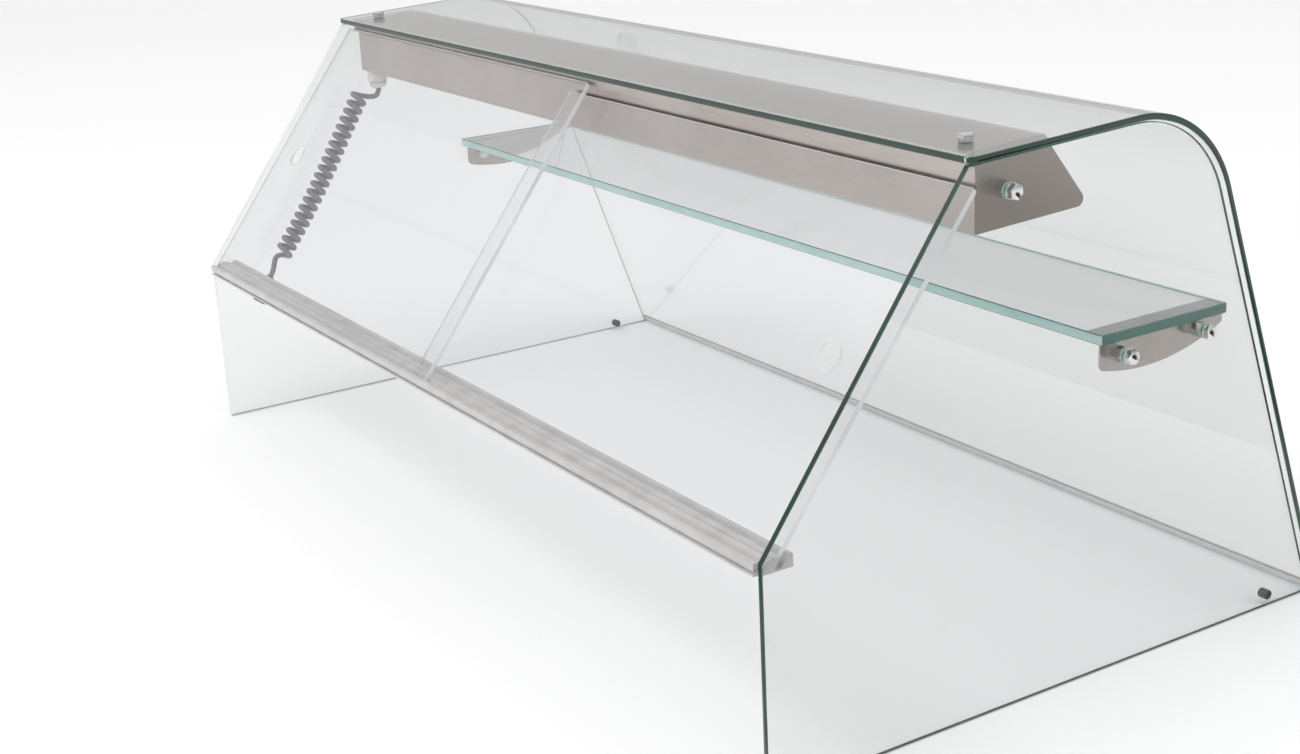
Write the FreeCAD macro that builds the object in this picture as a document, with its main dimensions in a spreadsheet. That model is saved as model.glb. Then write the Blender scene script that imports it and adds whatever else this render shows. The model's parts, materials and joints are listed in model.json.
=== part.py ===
"""Sneeze guard: the glass superstructure of a serve-over food counter.

A bent sheet of glass covers the top and the front, two flat glasses close the ends, and a
light canopy hangs under the top's rear edge. Two acrylic doors lean on the canopy and slide
in a double track along the rear, and a glass shelf stands on brackets bolted to the ends.

Frame: X along the guard, Y from the operator's side to the customer's, Z up. The origin is
the middle of the footprint, on the deck that the glasses stand on. Lengths named *_y are
measured from the end glasses' rear corner, and lengths named *_z from the worktop level.
"""
import FreeCAD, Part
import math
import os
import re
import Sketcher

SIZES = {
    # datum: where the worktop level and the end glasses' rear corner lie in the frame
    "rear_datum": -341.9,
    "deck_drop": 215.0,
    # bent glass: outer surface
    "glass_thick": 6.0,
    "bent_length": 1278.0,
    "bent_rear_y": 218.0,
    "bent_rear_z": 304.0,
    "bent_apex_y": 501.2,
    "bent_radius": 122.0,
    "bent_low_z": -211.4,
    "top_tilt": 2.5,
    "front_tilt": 70.7,
    "glass_corner": 5.0,
    # end glasses
    "end_span": 1270.0,
    "end_gap": 2.0,
    "end_lean": 53.44,
    # doors
    "door_thick": 5.0,
    "door_lean": 52.4,
    "door_gap": 7.0,
    "door_base_z": -8.0,
    "outer_door_y": 5.0,
    "inner_door_y": 27.0,
    "outer_door_top": 290.0,
    "inner_door_top": 272.5,
    "outer_door_inner_edge": 10.0,
    "inner_door_inner_edge": -42.0,
    "door_corner": 3.0,
    "finger_hole": 30.0,
    "outer_hole_inset": 50.0,
    "inner_hole_inset": 62.0,
    # door track
    "track_rear_y": -4.0,
    "track_front_y": 35.0,
    "track_base_z": -12.0,
    "track_end_gap": 1.0,
    "groove_play": 0.3,
    "groove_floor": 2.0,
    "bead_wide": 2.0,
    "bead_high": 1.2,
    # canopy
    "canopy_length": 1234.0,
    "canopy_sheet": 1.2,
    "canopy_rear_y": 240.0,
    "canopy_low_z": 232.0,
    "canopy_crest_y": 320.0,
    "canopy_front_y": 370.0,
    "canopy_pad": 1.0,
    "canopy_nose": 7.0,
    "canopy_lip": 9.2,
    "canopy_hem": 10.5,
    "slot_rear_y": 274.0,
    "slot_front_y": 346.0,
    "slot_rise": 13.0,
    "end_plate": 1.5,
    "end_plate_gap": 0.3,
    # lamp
    "lamp_length": 1149.0,
    "lamp_radius": 8.0,
    "lamp_y": 306.0,
    "lamp_z": 268.0,
    "holder_long": 14.0,
    "holder_wide": 22.0,
    "holder_low_z": 254.0,
    "driver_long": 360.0,
    "driver_wide": 28.0,
    "driver_high": 22.0,
    "driver_z": 250.0,
    "diffuser_thick": 2.0,
    "diffuser_lap": 5.0,
    "diffuser_length": 1228.0,
    # fixings through the end glasses
    "bolt_radius": 4.0,
    "bore_radius": 4.4,
    "hex_flats": 13.0,
    "head_high": 6.0,
    "nut_high": 6.5,
    "thread_play": 0.05,
    "cap_nut_inset": 0.5,
    "washer_radius": 7.4,
    "cap_washer_radius": 6.4,
    "washer_thick": 1.2,
    "canopy_bolt_y": 267.0,
    "canopy_bolt_z": 268.0,
    "shelf_bolt_rear_y": 411.0,
    "shelf_bolt_rear_z": 92.0,
    "shelf_bolt_front_y": 512.0,
    "shelf_bolt_front_z": 95.3,
    # cap bolts through the top
    "cap_x": 590.0,
    "cap_y": 256.0,
    "cap_shank": 14.0,
    # shelf and its brackets
    "shelf_length": 1251.0,
    "shelf_thick": 10.0,
    "shelf_rear_y": 384.0,
    "shelf_front_y": 546.0,
    "shelf_top_z": 115.0,
    "bracket_face": 618.0,
    "bracket_sheet": 2.0,
    "bracket_flange": 20.0,
    "bracket_rear_y": 389.0,
    "bracket_front_y": 547.0,
    "bracket_heel_z": 79.0,
    "bracket_tip_z": 95.0,
    "bracket_arc": 230.0,
    "bracket_heel": 7.0,
    # cable gland and curly cord
    "gland_x": -600.0,
    "gland_y": 252.6,
    "gland_flats": 24.0,
    "gland_hex_high": 15.0,
    "gland_dome_radius": 12.0,
    "gland_dome_foot": 9.6,
    "gland_dome_high": 9.0,
    "gland_stub_radius": 8.0,
    "gland_stub_high": 8.0,
    "locknut_flats": 22.0,
    "locknut_high": 4.0,
    "cord_radius": 3.5,
    "cord_play": 0.3,
    "coil_radius": 13.0,
    "cord_x": -600.0,
    "plug_radius": 9.0,
    "plug_long": 28.0,
    "plug_neck": 5.0,
    "plug_neck_long": 10.0,
    # seal and stops
    "seal_wall": 1.2,
    "seal_play": 0.05,
    "seal_high": 6.0,
    "stop_radius": 5.0,
    "stop_long": 10.0,
    "stop_y": 622.0,
    "stop_z": -206.0,
}
# cord routes, as (distance forward of the rear corner, height above the worktop level)
LEAD_ROUTE = [(253.6, 208.5), (252.0, 200.0), (244.0, 196.4), (230.0, 200.5)]
COIL_ROUTE = [(227.0, 205.0), (200.5, 164.0), (168.0, 111.0), (132.5, 57.5), (96.0, 10.0), (70.0, -24.0)]
FUNCTIONS = {"sin", "cos", "tan", "sqrt"}
SIDES = (("left", -1), ("right", 1))

doc = FreeCAD.newDocument("SneezeGuard")
nodes = []


def make_sheet():
    """Write every driving dimension into the spreadsheet, one aliased cell each."""
    sheet = doc.addObject("Spreadsheet::Sheet", "Sizes")
    for row, (alias, number) in enumerate(SIZES.items(), start=1):
        sheet.set(f"A{row}", alias)
        sheet.set(f"B{row}", str(number))
        sheet.setAlias(f"B{row}", alias)
    doc.recompute()
    return sheet


def bind(text):
    """Turn a formula of size names into an expression that reads the spreadsheet."""
    def one(match):
        word = match.group(0)
        return word if word in FUNCTIONS else f"Sizes.{word}"
    return re.sub(r"[a-z][a-z_]*", one, str(text))


def value(text):
    """Work out a formula of size names as a number."""
    result = sheet.evalExpression(bind(text))
    return float(getattr(result, "Value", result))


def world_y(text):
    return f"rear_datum + {text}"


def world_z(text):
    return f"deck_drop + {text}"


def add(*terms):
    """Join terms of a formula with plus signs."""
    return " + ".join(f"({term})" for term in terms)


def keep(obj, name):
    """Name an object as a finished sub-part."""
    obj.Label = name
    nodes.append(obj)
    return obj


def place(obj, x="0", y="0", z="0", axis=(0, 0, 1), angle="0"):
    """Bind an object's placement to the spreadsheet."""
    obj.Placement = FreeCAD.Placement(FreeCAD.Vector(), FreeCAD.Rotation(FreeCAD.Vector(*axis), 1))
    for part, text in (("Base.x", x), ("Base.y", y), ("Base.z", z), ("Rotation.Angle", angle)):
        obj.setExpression(f"Placement.{part}", bind(text))
    return obj


# --- PartDesign helpers -------------------------------------------------------------------

def new_sketch(body, name, plane, offset="0"):
    """Attach a sketch to one of its body's origin planes, moved along the normal."""
    sketch = body.newObject("Sketcher::SketchObject", f"{body.Name}_{name}")
    support = [item for item in body.Origin.OriginFeatures if item.Role == plane][0]
    sketch.AttachmentSupport = [(support, "")]
    sketch.MapMode = "FlatFace"
    sketch.setExpression("AttachmentOffset.Base.z", bind(offset))
    return sketch


def pin_point(sketch, geometry, end, point):
    """Hold one end of a sketch line at a point given by two formulas."""
    for kind, text in zip(("DistanceX", "DistanceY"), point):
        rule = Sketcher.Constraint(kind, -1, 1, geometry, end, value(text))
        index = sketch.addConstraint(rule)
        sketch.setExpression(f"Constraints[{index}]", bind(text))


def outline(sketch, points):
    """Draw a closed polygon through points, each a pair of formulas."""
    start = sketch.GeometryCount
    corners = [FreeCAD.Vector(value(u), value(v), 0) for u, v in points]
    count = len(points)
    for index in range(count):
        line = Part.LineSegment(corners[index], corners[(index + 1) % count])
        sketch.addGeometry(line)
    for index in range(count):
        following = start + (index + 1) % count
        sketch.addConstraint(Sketcher.Constraint("Coincident", start + index, 2, following, 1))
        pin_point(sketch, start + index, 1, points[index])


def circle(sketch, centre, radius):
    """Draw a circle whose centre and radius are formulas."""
    middle = FreeCAD.Vector(value(centre[0]), value(centre[1]), 0)
    shape = Part.Circle(middle, FreeCAD.Vector(0, 0, 1), value(radius))
    geometry = sketch.addGeometry(shape)
    pin_point(sketch, geometry, 3, centre)
    index = sketch.addConstraint(Sketcher.Constraint("Radius", geometry, value(radius)))
    sketch.setExpression(f"Constraints[{index}]", bind(radius))


def pad(body, sketch, length):
    feature = body.newObject("PartDesign::Pad", f"{sketch.Name}_pad")
    feature.Profile = sketch
    feature.setExpression("Length", bind(length))
    doc.recompute()
    return feature


def pocket_through(body, sketch):
    """Cut a sketch right through its body, both ways from the sketch plane."""
    before = body.Shape.Volume
    feature = body.newObject("PartDesign::Pocket", f"{sketch.Name}_pocket")
    feature.Profile = sketch
    feature.Type = "ThroughAll"
    feature.Midplane = True
    doc.recompute()
    if body.Shape.Volume > before - 1.0:
        raise RuntimeError(f"{feature.Name} cuts nothing")
    return feature


def round_edges(body, name, radius, wanted):
    """Fillet the edges of a body's tip that a test picks out."""
    tip = body.Tip
    names = [f"Edge{i}" for i, edge in enumerate(tip.Shape.Edges, start=1) if wanted(edge)]
    feature = body.newObject("PartDesign::Fillet", f"{body.Name}_{name}")
    feature.Base = (tip, names)
    feature.setExpression("Radius", bind(radius))
    doc.recompute()
    return feature


def runs_along(edge, axis):
    """True for a straight edge along one world axis."""
    if not isinstance(edge.Curve, Part.Line):
        return False
    return abs(abs(edge.tangentAt(edge.FirstParameter).dot(axis)) - 1) < 1e-6


def passes(edge, first, second, reach=0.5):
    """True if an edge's middle lies within reach of a (first, second) point in YZ."""
    middle = edge.CenterOfMass
    return math.hypot(middle.y - first, middle.z - second) < reach


X_AXIS = FreeCAD.Vector(1, 0, 0)
Y_AXIS = FreeCAD.Vector(0, 1, 0)
Z_AXIS = FreeCAD.Vector(0, 0, 1)


# --- the bent glass's section, shared by every piece that follows it -----------------------

APEX_Z = "bent_rear_z + (bent_apex_y - bent_rear_y) * tan(top_tilt)"
LOW_Y = f"bent_apex_y + ({APEX_Z} - bent_low_z) / tan(front_tilt)"


def under_top(along_y, depth):
    """Height of the plane that lies a depth under the top's outer surface."""
    rise = f"({along_y} - bent_rear_y) * tan(top_tilt)"
    return f"bent_rear_z + {rise} - ({depth}) / cos(top_tilt)"


def inside_apex(depth):
    """The mitre corner of the bent section, a depth inside its outer surface."""
    turn = f"({depth}) / (1 + cos(top_tilt + front_tilt))"
    along = f"bent_apex_y + {turn} * (sin(top_tilt) - sin(front_tilt))"
    up = f"{APEX_Z} - {turn} * (cos(top_tilt) + cos(front_tilt))"
    return along, up


def inside_front(up, depth):
    """The point of the sloping front at a height, a depth inside its outer surface."""
    along = f"bent_apex_y + ({APEX_Z} - ({up})) / tan(front_tilt) - ({depth}) / sin(front_tilt)"
    return along, up


def to_world(point):
    return world_y(point[0]), world_z(point[1])


# --- sub-parts ----------------------------------------------------------------------------

def make_bent_glass():
    """One sheet, bent once: the top and the sloping front."""
    body = doc.addObject("PartDesign::Body", "bent_glass")
    sketch = new_sketch(body, "section", "YZ_Plane", "-bent_length / 2")
    low_inner = (f"{LOW_Y} - glass_thick * sin(front_tilt)",
                 "bent_low_z - glass_thick * cos(front_tilt)")
    rear_inner = ("bent_rear_y + glass_thick * sin(top_tilt)",
                  "bent_rear_z - glass_thick * cos(top_tilt)")
    apex = ("bent_apex_y", APEX_Z)
    inner = inside_apex("glass_thick")
    points = [("bent_rear_y", "bent_rear_z"), apex, (LOW_Y, "bent_low_z")]
    points += [low_inner, inner, rear_inner]
    outline(sketch, [to_world(point) for point in points])
    pad(body, sketch, "bent_length")
    for name, corner, radius in (("outer", apex, "bent_radius"),
                                 ("inner", inner, "bent_radius - glass_thick")):
        spot = [value(text) for text in to_world(corner)]
        round_edges(body, name, radius, lambda edge: passes(edge, *spot))
    rear = value(world_y("bent_rear_y")) + value("glass_thick")
    round_edges(body, "corners", "glass_corner",
                lambda edge: abs(edge.Length - value("glass_thick")) < 0.01
                and not runs_along(edge, X_AXIS) and edge.CenterOfMass.y < rear)
    holes = new_sketch(body, "holes", "XY_Plane")
    for side in ("-cap_x", "cap_x"):
        circle(holes, (side, world_y("cap_y")), "bore_radius")
    pocket_through(body, holes)
    keep(body, "bent_glass")


def make_end_glass(name, side):
    """A flat end glass that follows the inside of the bent one."""
    body = doc.addObject("PartDesign::Body", name)
    near = "end_span / 2 - glass_thick" if side > 0 else "-end_span / 2"
    sketch = new_sketch(body, "face", "YZ_Plane", near)
    depth = "glass_thick + end_gap"
    reach = f"(bent_rear_z - ({depth}) * cos(top_tilt)) / tan(end_lean)"
    gap = f"({reach} - bent_rear_y - ({depth}) * sin(top_tilt))"
    travel = f"{gap} / (cos(top_tilt) - sin(top_tilt) / tan(end_lean))"
    crest_y = f"bent_rear_y + ({depth}) * sin(top_tilt) + {travel} * cos(top_tilt)"
    crest = (crest_y, f"({crest_y}) * tan(end_lean)")
    apex = inside_apex(depth)
    points = [("0", "-deck_drop"), ("0", "0"), crest, apex, inside_front("-deck_drop", depth)]
    outline(sketch, [to_world(point) for point in points])
    for along, up in (("canopy_bolt_y", "canopy_bolt_z"), ("shelf_bolt_rear_y", "shelf_bolt_rear_z"),
                      ("shelf_bolt_front_y", "shelf_bolt_front_z")):
        circle(sketch, to_world((along, up)), "bore_radius")
    pad(body, sketch, "glass_thick")
    spot = [value(text) for text in to_world(apex)]
    round_edges(body, "bend", f"bent_radius - ({depth})", lambda edge: passes(edge, *spot))
    keep(body, name)


def make_door(name, base_y, top_z, low_x, high_x, hole_x):
    """An acrylic door: drawn flat, then leaned forward about its lower edge."""
    body = doc.addObject("PartDesign::Body", name)
    sketch = new_sketch(body, "face", "XY_Plane", "-door_thick / 2")
    tall = f"({top_z} - door_base_z) / sin(door_lean)"
    outline(sketch, [(low_x, "0"), (high_x, "0"), (high_x, tall), (low_x, tall)])
    circle(sketch, (hole_x, f"{tall} / 2"), "finger_hole / 2")
    pad(body, sketch, "door_thick")
    round_edges(body, "corners", "door_corner", lambda edge: runs_along(edge, Z_AXIS)
                and edge.Length < value("door_thick") + 0.01 and edge.Faces is not None)
    place(body, "0", world_y(f"{base_y} + door_base_z / tan(door_lean)"),
          world_z("door_base_z"), (1, 0, 0), "door_lean")
    keep(body, name)


def make_track():
    """The double track: two leaning grooves with a beaded land between them."""
    body = doc.addObject("PartDesign::Body", "door_track")
    half = "(end_span / 2 - glass_thick - track_end_gap)"
    sketch = new_sketch(body, "section", "YZ_Plane", f"-{half}")
    middle = "(track_rear_y + track_front_y) / 2"
    points = [("track_rear_y", "track_base_z"), ("track_front_y", "track_base_z"),
              ("track_front_y", "0"), (f"{middle} + bead_wide / 2", "0"),
              (f"{middle} + bead_wide / 2", "bead_high"), (f"{middle} - bead_wide / 2", "bead_high"),
              (f"{middle} - bead_wide / 2", "0"), ("track_rear_y", "0")]
    outline(sketch, [to_world(point) for point in points])
    pad(body, sketch, f"2 * {half}")
    grooves = new_sketch(body, "grooves", "YZ_Plane")
    half_groove = "(door_thick / 2 + groove_play) / sin(door_lean)"
    floor = "(door_base_z - groove_floor)"
    for base_y in ("outer_door_y", "inner_door_y"):
        low = f"{base_y} + {floor} / tan(door_lean)"
        high = f"{base_y} + door_thick / tan(door_lean)"
        points = [(f"{low} - {half_groove}", floor), (f"{low} + {half_groove}", floor),
                  (f"{high} + {half_groove}", "door_thick"), (f"{high} - {half_groove}", "door_thick")]
        outline(grooves, [to_world(point) for point in points])
    pocket_through(body, grooves)
    keep(body, "door_track")


def canopy_low(along_y):
    """Height of the canopy's underside, parallel to the top."""
    return f"canopy_low_z + ({along_y} - canopy_rear_y) * tan(top_tilt)"


def canopy_points():
    """The canopy's outer section, clockwise from the rear's lower corner."""
    depth = "glass_thick + canopy_pad"
    return [("canopy_rear_y", "canopy_low_z"),
            ("canopy_rear_y", under_top("canopy_rear_y", depth)),
            ("canopy_crest_y", under_top("canopy_crest_y", depth)),
            ("canopy_front_y", canopy_low("canopy_front_y"))]


def round_nose(body):
    """Round the canopy's lower front corner."""
    spot = [value(text) for text in to_world(canopy_points()[-1])]
    round_edges(body, "nose", "canopy_nose", lambda edge: passes(edge, *spot))


def make_canopy():
    """A folded sheet, open at both ends and along a slot in its underside."""
    body = doc.addObject("PartDesign::Body", "canopy_shell")
    sketch = new_sketch(body, "section", "YZ_Plane", "-canopy_length / 2")
    outline(sketch, [to_world(point) for point in canopy_points()])
    solid = pad(body, sketch, "canopy_length")
    round_nose(body)
    solid = body.Tip
    ends = [f"Face{i}" for i, face in enumerate(solid.Shape.Faces, start=1)
            if abs(abs(face.CenterOfMass.x) - value("canopy_length / 2")) < 0.01]
    shell = body.newObject("PartDesign::Thickness", "canopy_shell_thickness")
    shell.Base = (solid, ends)
    shell.Reversed = True
    shell.setExpression("Value", bind("canopy_sheet"))
    doc.recompute()
    lip = new_sketch(body, "lip", "YZ_Plane", "-canopy_length / 2")
    depth = "glass_thick + canopy_pad"
    deep = f"{depth} + canopy_sheet"
    hem = f"{depth} + canopy_hem"
    rear = "(canopy_rear_y - canopy_lip)"
    fold = "(canopy_rear_y - canopy_lip + canopy_sheet)"
    front = "(canopy_rear_y + canopy_sheet)"
    points = [(rear, under_top(rear, hem)), (fold, under_top(rear, hem)), (fold, under_top(fold, deep)),
              (front, under_top(front, deep)), (front, under_top(front, depth)),
              (rear, under_top(rear, depth))]
    outline(lip, [to_world(point) for point in points])
    pad(body, lip, "canopy_length")
    slot = new_sketch(body, "slot", "YZ_Plane")
    low, high = "canopy_low_z - canopy_sheet", "canopy_low_z + slot_rise"
    points = [("slot_rear_y", low), ("slot_front_y", low), ("slot_front_y", high), ("slot_rear_y", high)]
    outline(slot, [to_world(point) for point in points])
    pocket_through(body, slot)
    gland = new_sketch(body, "gland_hole", "XY_Plane", world_z("canopy_low_z - canopy_sheet"))
    circle(gland, ("gland_x", world_y("gland_y")), "gland_stub_radius + groove_play")
    hole = body.newObject("PartDesign::Pocket", "canopy_gland_pocket")
    hole.Profile = gland
    hole.Reversed = True
    hole.setExpression("Length", bind("canopy_sheet * 4"))
    caps = new_sketch(body, "cap_holes", "XY_Plane", world_z(under_top("cap_y", depth)))
    for side in ("-cap_x", "cap_x"):
        circle(caps, (side, world_y("cap_y")), "bore_radius")
    holes = body.newObject("PartDesign::Pocket", "canopy_cap_pocket")
    holes.Profile = caps
    holes.Midplane = True
    holes.setExpression("Length", bind("canopy_sheet * 8"))
    doc.recompute()
    keep(body, "canopy_shell")


def make_canopy_end(name, side):
    """A plate that closes one end of the canopy and takes its bolt."""
    body = doc.addObject("PartDesign::Body", name)
    inner = "canopy_length / 2 + end_plate_gap"
    near = inner if side > 0 else f"-({inner}) - end_plate"
    sketch = new_sketch(body, "face", "YZ_Plane", near)
    outline(sketch, [to_world(point) for point in canopy_points()])
    circle(sketch, to_world(("canopy_bolt_y", "canopy_bolt_z")), "bore_radius")
    pad(body, sketch, "end_plate")
    round_nose(body)
    keep(body, name)


def make_lamp():
    """The tube, its two holders, the driver and the diffuser inside the canopy."""
    tube = doc.addObject("Part::Cylinder", "lamp_tube")
    tube.setExpression("Radius", bind("lamp_radius"))
    tube.setExpression("Height", bind("lamp_length"))
    place(tube, "-lamp_length / 2", world_y("lamp_y"), world_z("lamp_z"), (0, 1, 0), "90")
    keep(tube, "lamp_tube")
    depth = "glass_thick + canopy_pad + canopy_sheet + groove_play"
    top = under_top("(lamp_y - holder_wide / 2)", depth)
    for side, sign in SIDES:
        holder = doc.addObject("Part::Box", f"lamp_holder_{side}")
        holder.setExpression("Length", bind("holder_long"))
        holder.setExpression("Width", bind("holder_wide"))
        holder.setExpression("Height", bind(f"{top} - holder_low_z"))
        gap = "lamp_length / 2 + groove_play"
        x = gap if sign > 0 else f"-({gap}) - holder_long"
        place(holder, x, world_y("lamp_y - holder_wide / 2"), world_z("holder_low_z"))
        keep(holder, f"lamp_holder_{side}")
    driver = doc.addObject("Part::Box", "lamp_driver")
    driver.setExpression("Length", bind("driver_long"))
    driver.setExpression("Width", bind("driver_wide"))
    driver.setExpression("Height", bind("driver_high"))
    place(driver, "-driver_long", world_y("canopy_rear_y + canopy_sheet + groove_play"), world_z("driver_z"))
    keep(driver, "lamp_driver")
    body = doc.addObject("PartDesign::Body", "lamp_diffuser")
    sketch = new_sketch(body, "section", "YZ_Plane", "-diffuser_length / 2")
    rear, front = "(slot_rear_y - diffuser_lap)", "(slot_front_y + diffuser_lap)"
    rest = "(canopy_sheet + groove_play) / cos(top_tilt)"
    crown = "diffuser_thick / cos(top_tilt)"
    points = [(rear, add(canopy_low(rear), rest)), (front, add(canopy_low(front), rest)),
              (front, add(canopy_low(front), rest, crown)), (rear, add(canopy_low(rear), rest, crown))]
    outline(sketch, [to_world(point) for point in points])
    pad(body, sketch, "diffuser_length")
    keep(body, "lamp_diffuser")


def hexagon(name, flats, tall, chamfered=True):
    """A hexagonal prism up the Z axis, its far end chamfered like a bolt head."""
    prism = doc.addObject("Part::Prism", f"{name}_prism")
    prism.Polygon = 6
    prism.setExpression("Circumradius", bind(f"{flats} / sqrt(3)"))
    prism.setExpression("Height", bind(tall))
    if not chamfered:
        return prism
    cone = doc.addObject("Part::Cone", f"{name}_cone")
    cone.setExpression("Radius1", bind(f"{flats} * 0.475 + ({tall}) * sqrt(3)"))
    cone.setExpression("Radius2", bind(f"{flats} * 0.475"))
    cone.setExpression("Height", bind(tall))
    common = doc.addObject("Part::Common", f"{name}_hex")
    common.Base = prism
    common.Tool = cone
    return common


def rod(name, radius, tall, lift="0"):
    """A cylinder up the Z axis."""
    cylinder = doc.addObject("Part::Cylinder", name)
    cylinder.setExpression("Radius", bind(radius))
    cylinder.setExpression("Height", bind(tall))
    place(cylinder, z=lift)
    return cylinder


def join(name, base, tool):
    fused = doc.addObject("Part::Fuse", name)
    fused.Base = base
    fused.Tool = tool
    return fused


def cut(name, base, tool):
    pierced = doc.addObject("Part::Cut", name)
    pierced.Base = base
    pierced.Tool = tool
    return pierced


def make_fixing(name, side, along, up, plate_face, plate_thick):
    """One bolt through an end glass: bolt, two washers, hexagonal collar and nut."""
    glass_out = "end_span / 2"
    glass_in = "end_span / 2 - glass_thick"
    turn = "90" if side > 0 else "-90"
    spot = to_world((along, up))

    def fix(obj, reach):
        x = reach if side > 0 else f"-({reach})"
        place(obj, x, spot[0], spot[1], (0, 1, 0), turn)

    head = hexagon(f"{name}_head", "hex_flats", "head_high")
    shank_long = f"{glass_out} + washer_thick - ({plate_face}) + ({plate_thick}) + nut_high + bolt_radius / 2"
    shank = rod(f"{name}_shank", "bolt_radius", shank_long, f"-({shank_long})")
    bolt = join(f"{name}_bolt", head, shank)
    fix(bolt, f"{glass_out} + washer_thick")
    keep(bolt, f"{name}_bolt")

    outer = rod(f"{name}_washer_outer", "washer_radius", "washer_thick")
    inner = rod(f"{name}_washer_inner", "washer_radius", "washer_thick", "-(glass_thick + washer_thick)")
    pair = join(f"{name}_washer_pair", outer, inner)
    washers = cut(f"{name}_washers", pair, rod(f"{name}_washer_bore", "bore_radius", "washer_radius * 4",
                                               "-(washer_radius * 2)"))
    fix(washers, glass_out)
    keep(washers, f"{name}_washers")

    collar_long = f"{glass_in} - washer_thick - ({plate_face})"
    block = hexagon(f"{name}_collar", "hex_flats", collar_long)
    bore = rod(f"{name}_collar_bore", "bore_radius", f"2 * ({collar_long})", f"-({collar_long}) / 2")
    collar = cut(f"{name}_collar", block, bore)
    fix(collar, plate_face)
    keep(collar, f"{name}_collar")

    block = hexagon(f"{name}_nut", "hex_flats", "nut_high", False)
    bore = rod(f"{name}_nut_bore", "bolt_radius + thread_play", "nut_high * 2", "-nut_high / 2")
    nut = cut(f"{name}_nut", block, bore)
    fix(nut, f"({plate_face}) - ({plate_thick}) - nut_high")
    keep(nut, f"{name}_nut")


def make_cap_fixing(side, sign):
    """A low hexagonal cap bolt through the top: cap, two washers and a nut inside."""
    name = f"cap_{side}"
    x = "cap_x" if sign > 0 else "-cap_x"
    under = "glass_thick + canopy_pad + canopy_sheet"

    def fix(obj, depth):
        place(obj, x, world_y(f"cap_y + ({depth}) * sin(top_tilt)"),
              world_z(f"bent_rear_z + (cap_y - bent_rear_y) * tan(top_tilt) - ({depth}) * cos(top_tilt)"),
              (1, 0, 0), "top_tilt")

    head = hexagon(f"{name}_head", "hex_flats", "head_high")
    shank = rod(f"{name}_shank", "bolt_radius", "cap_shank + washer_thick", "-(cap_shank + washer_thick)")
    bolt = join(f"{name}_bolt", head, shank)
    fix(bolt, "-washer_thick")
    keep(bolt, f"{name}_bolt")

    upper = rod(f"{name}_washer_upper", "cap_washer_radius", "washer_thick")
    lower = rod(f"{name}_washer_lower", "washer_radius", "canopy_pad", "-(glass_thick + canopy_pad)")
    pair = join(f"{name}_washer_pair", upper, lower)
    washers = cut(f"{name}_washers", pair, rod(f"{name}_washer_bore", "bore_radius", "washer_radius * 4",
                                               "-(washer_radius * 2)"))
    fix(washers, "0")
    keep(washers, f"{name}_washers")

    block = hexagon(f"{name}_nut", "hex_flats", f"cap_shank - ({under}) - cap_nut_inset", False)
    bore = rod(f"{name}_nut_bore", "bolt_radius + thread_play", "cap_shank * 2", "-cap_shank / 2")
    nut = cut(f"{name}_nut", block, bore)
    fix(nut, "cap_shank - cap_nut_inset")
    keep(nut, f"{name}_nut")


def make_shelf():
    """The glass shelf, its plan corners rounded."""
    body = doc.addObject("PartDesign::Body", "shelf_glass")
    sketch = new_sketch(body, "plan", "XY_Plane", world_z("shelf_top_z - shelf_thick"))
    half = "shelf_length / 2"
    rear, front = world_y("shelf_rear_y"), world_y("shelf_front_y")
    outline(sketch, [(f"-{half}", rear), (half, rear), (half, front), (f"-{half}", front)])
    pad(body, sketch, "shelf_thick")
    round_edges(body, "corners", "door_corner", lambda edge: runs_along(edge, Z_AXIS))
    keep(body, "shelf_glass")


def make_bracket(name, side):
    """A shelf bracket: a plate with a bowed lower edge, folded into a flange on top."""
    body = doc.addObject("PartDesign::Body", name)
    inner = "bracket_face - bracket_sheet"
    near = inner if side > 0 else "-bracket_face"
    sketch = new_sketch(body, "plate", "YZ_Plane", near)
    top = "shelf_top_z - shelf_thick"
    points = [to_world(point) for point in (
        ("bracket_rear_y", "bracket_heel_z"), ("bracket_front_y", "bracket_tip_z"),
        ("bracket_front_y", top), ("bracket_rear_y", top))]
    corners = [FreeCAD.Vector(value(u), value(v), 0) for u, v in points]
    heel, tip = corners[0], corners[1]
    radius = value("bracket_arc")
    chord = tip - heel
    normal = FreeCAD.Vector(-chord.y, chord.x, 0).normalize()
    centre = (heel + tip) * 0.5 + normal * math.sqrt(radius ** 2 - (chord.Length / 2) ** 2)
    bow = centre - normal * radius
    sketch.addGeometry(Part.Arc(heel, bow, tip))
    for index in (1, 2, 3):
        sketch.addGeometry(Part.LineSegment(corners[index], corners[(index + 1) % 4]))
    for first, first_end, second, second_end in ((0, 2, 1, 1), (1, 2, 2, 1), (2, 2, 3, 1), (3, 2, 0, 1)):
        sketch.addConstraint(Sketcher.Constraint("Coincident", first, first_end, second, second_end))
    pin_point(sketch, 0, 1, points[0])
    for index in (1, 2, 3):
        pin_point(sketch, index, 1, points[index])
    rule = sketch.addConstraint(Sketcher.Constraint("Radius", 0, radius))
    sketch.setExpression(f"Constraints[{rule}]", bind("bracket_arc"))
    for along, up in (("shelf_bolt_rear_y", "shelf_bolt_rear_z"), ("shelf_bolt_front_y", "shelf_bolt_front_z")):
        circle(sketch, to_world((along, up)), "bore_radius")
    pad(body, sketch, "bracket_sheet")
    round_edges(body, "heel", "bracket_heel",
                lambda edge: runs_along(edge, X_AXIS) and passes(edge, heel.x, heel.y))
    flange = new_sketch(body, "flange", "XY_Plane", world_z(f"{top} - bracket_sheet"))
    far = "bracket_face - bracket_flange"
    low_x, high_x = (far, inner) if side > 0 else (f"-({inner})", f"-({far})")
    rear, front = world_y("bracket_rear_y"), world_y("bracket_front_y")
    outline(flange, [(low_x, rear), (high_x, rear), (high_x, front), (low_x, front)])
    pad(body, flange, "bracket_sheet")
    keep(body, name)


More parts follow.
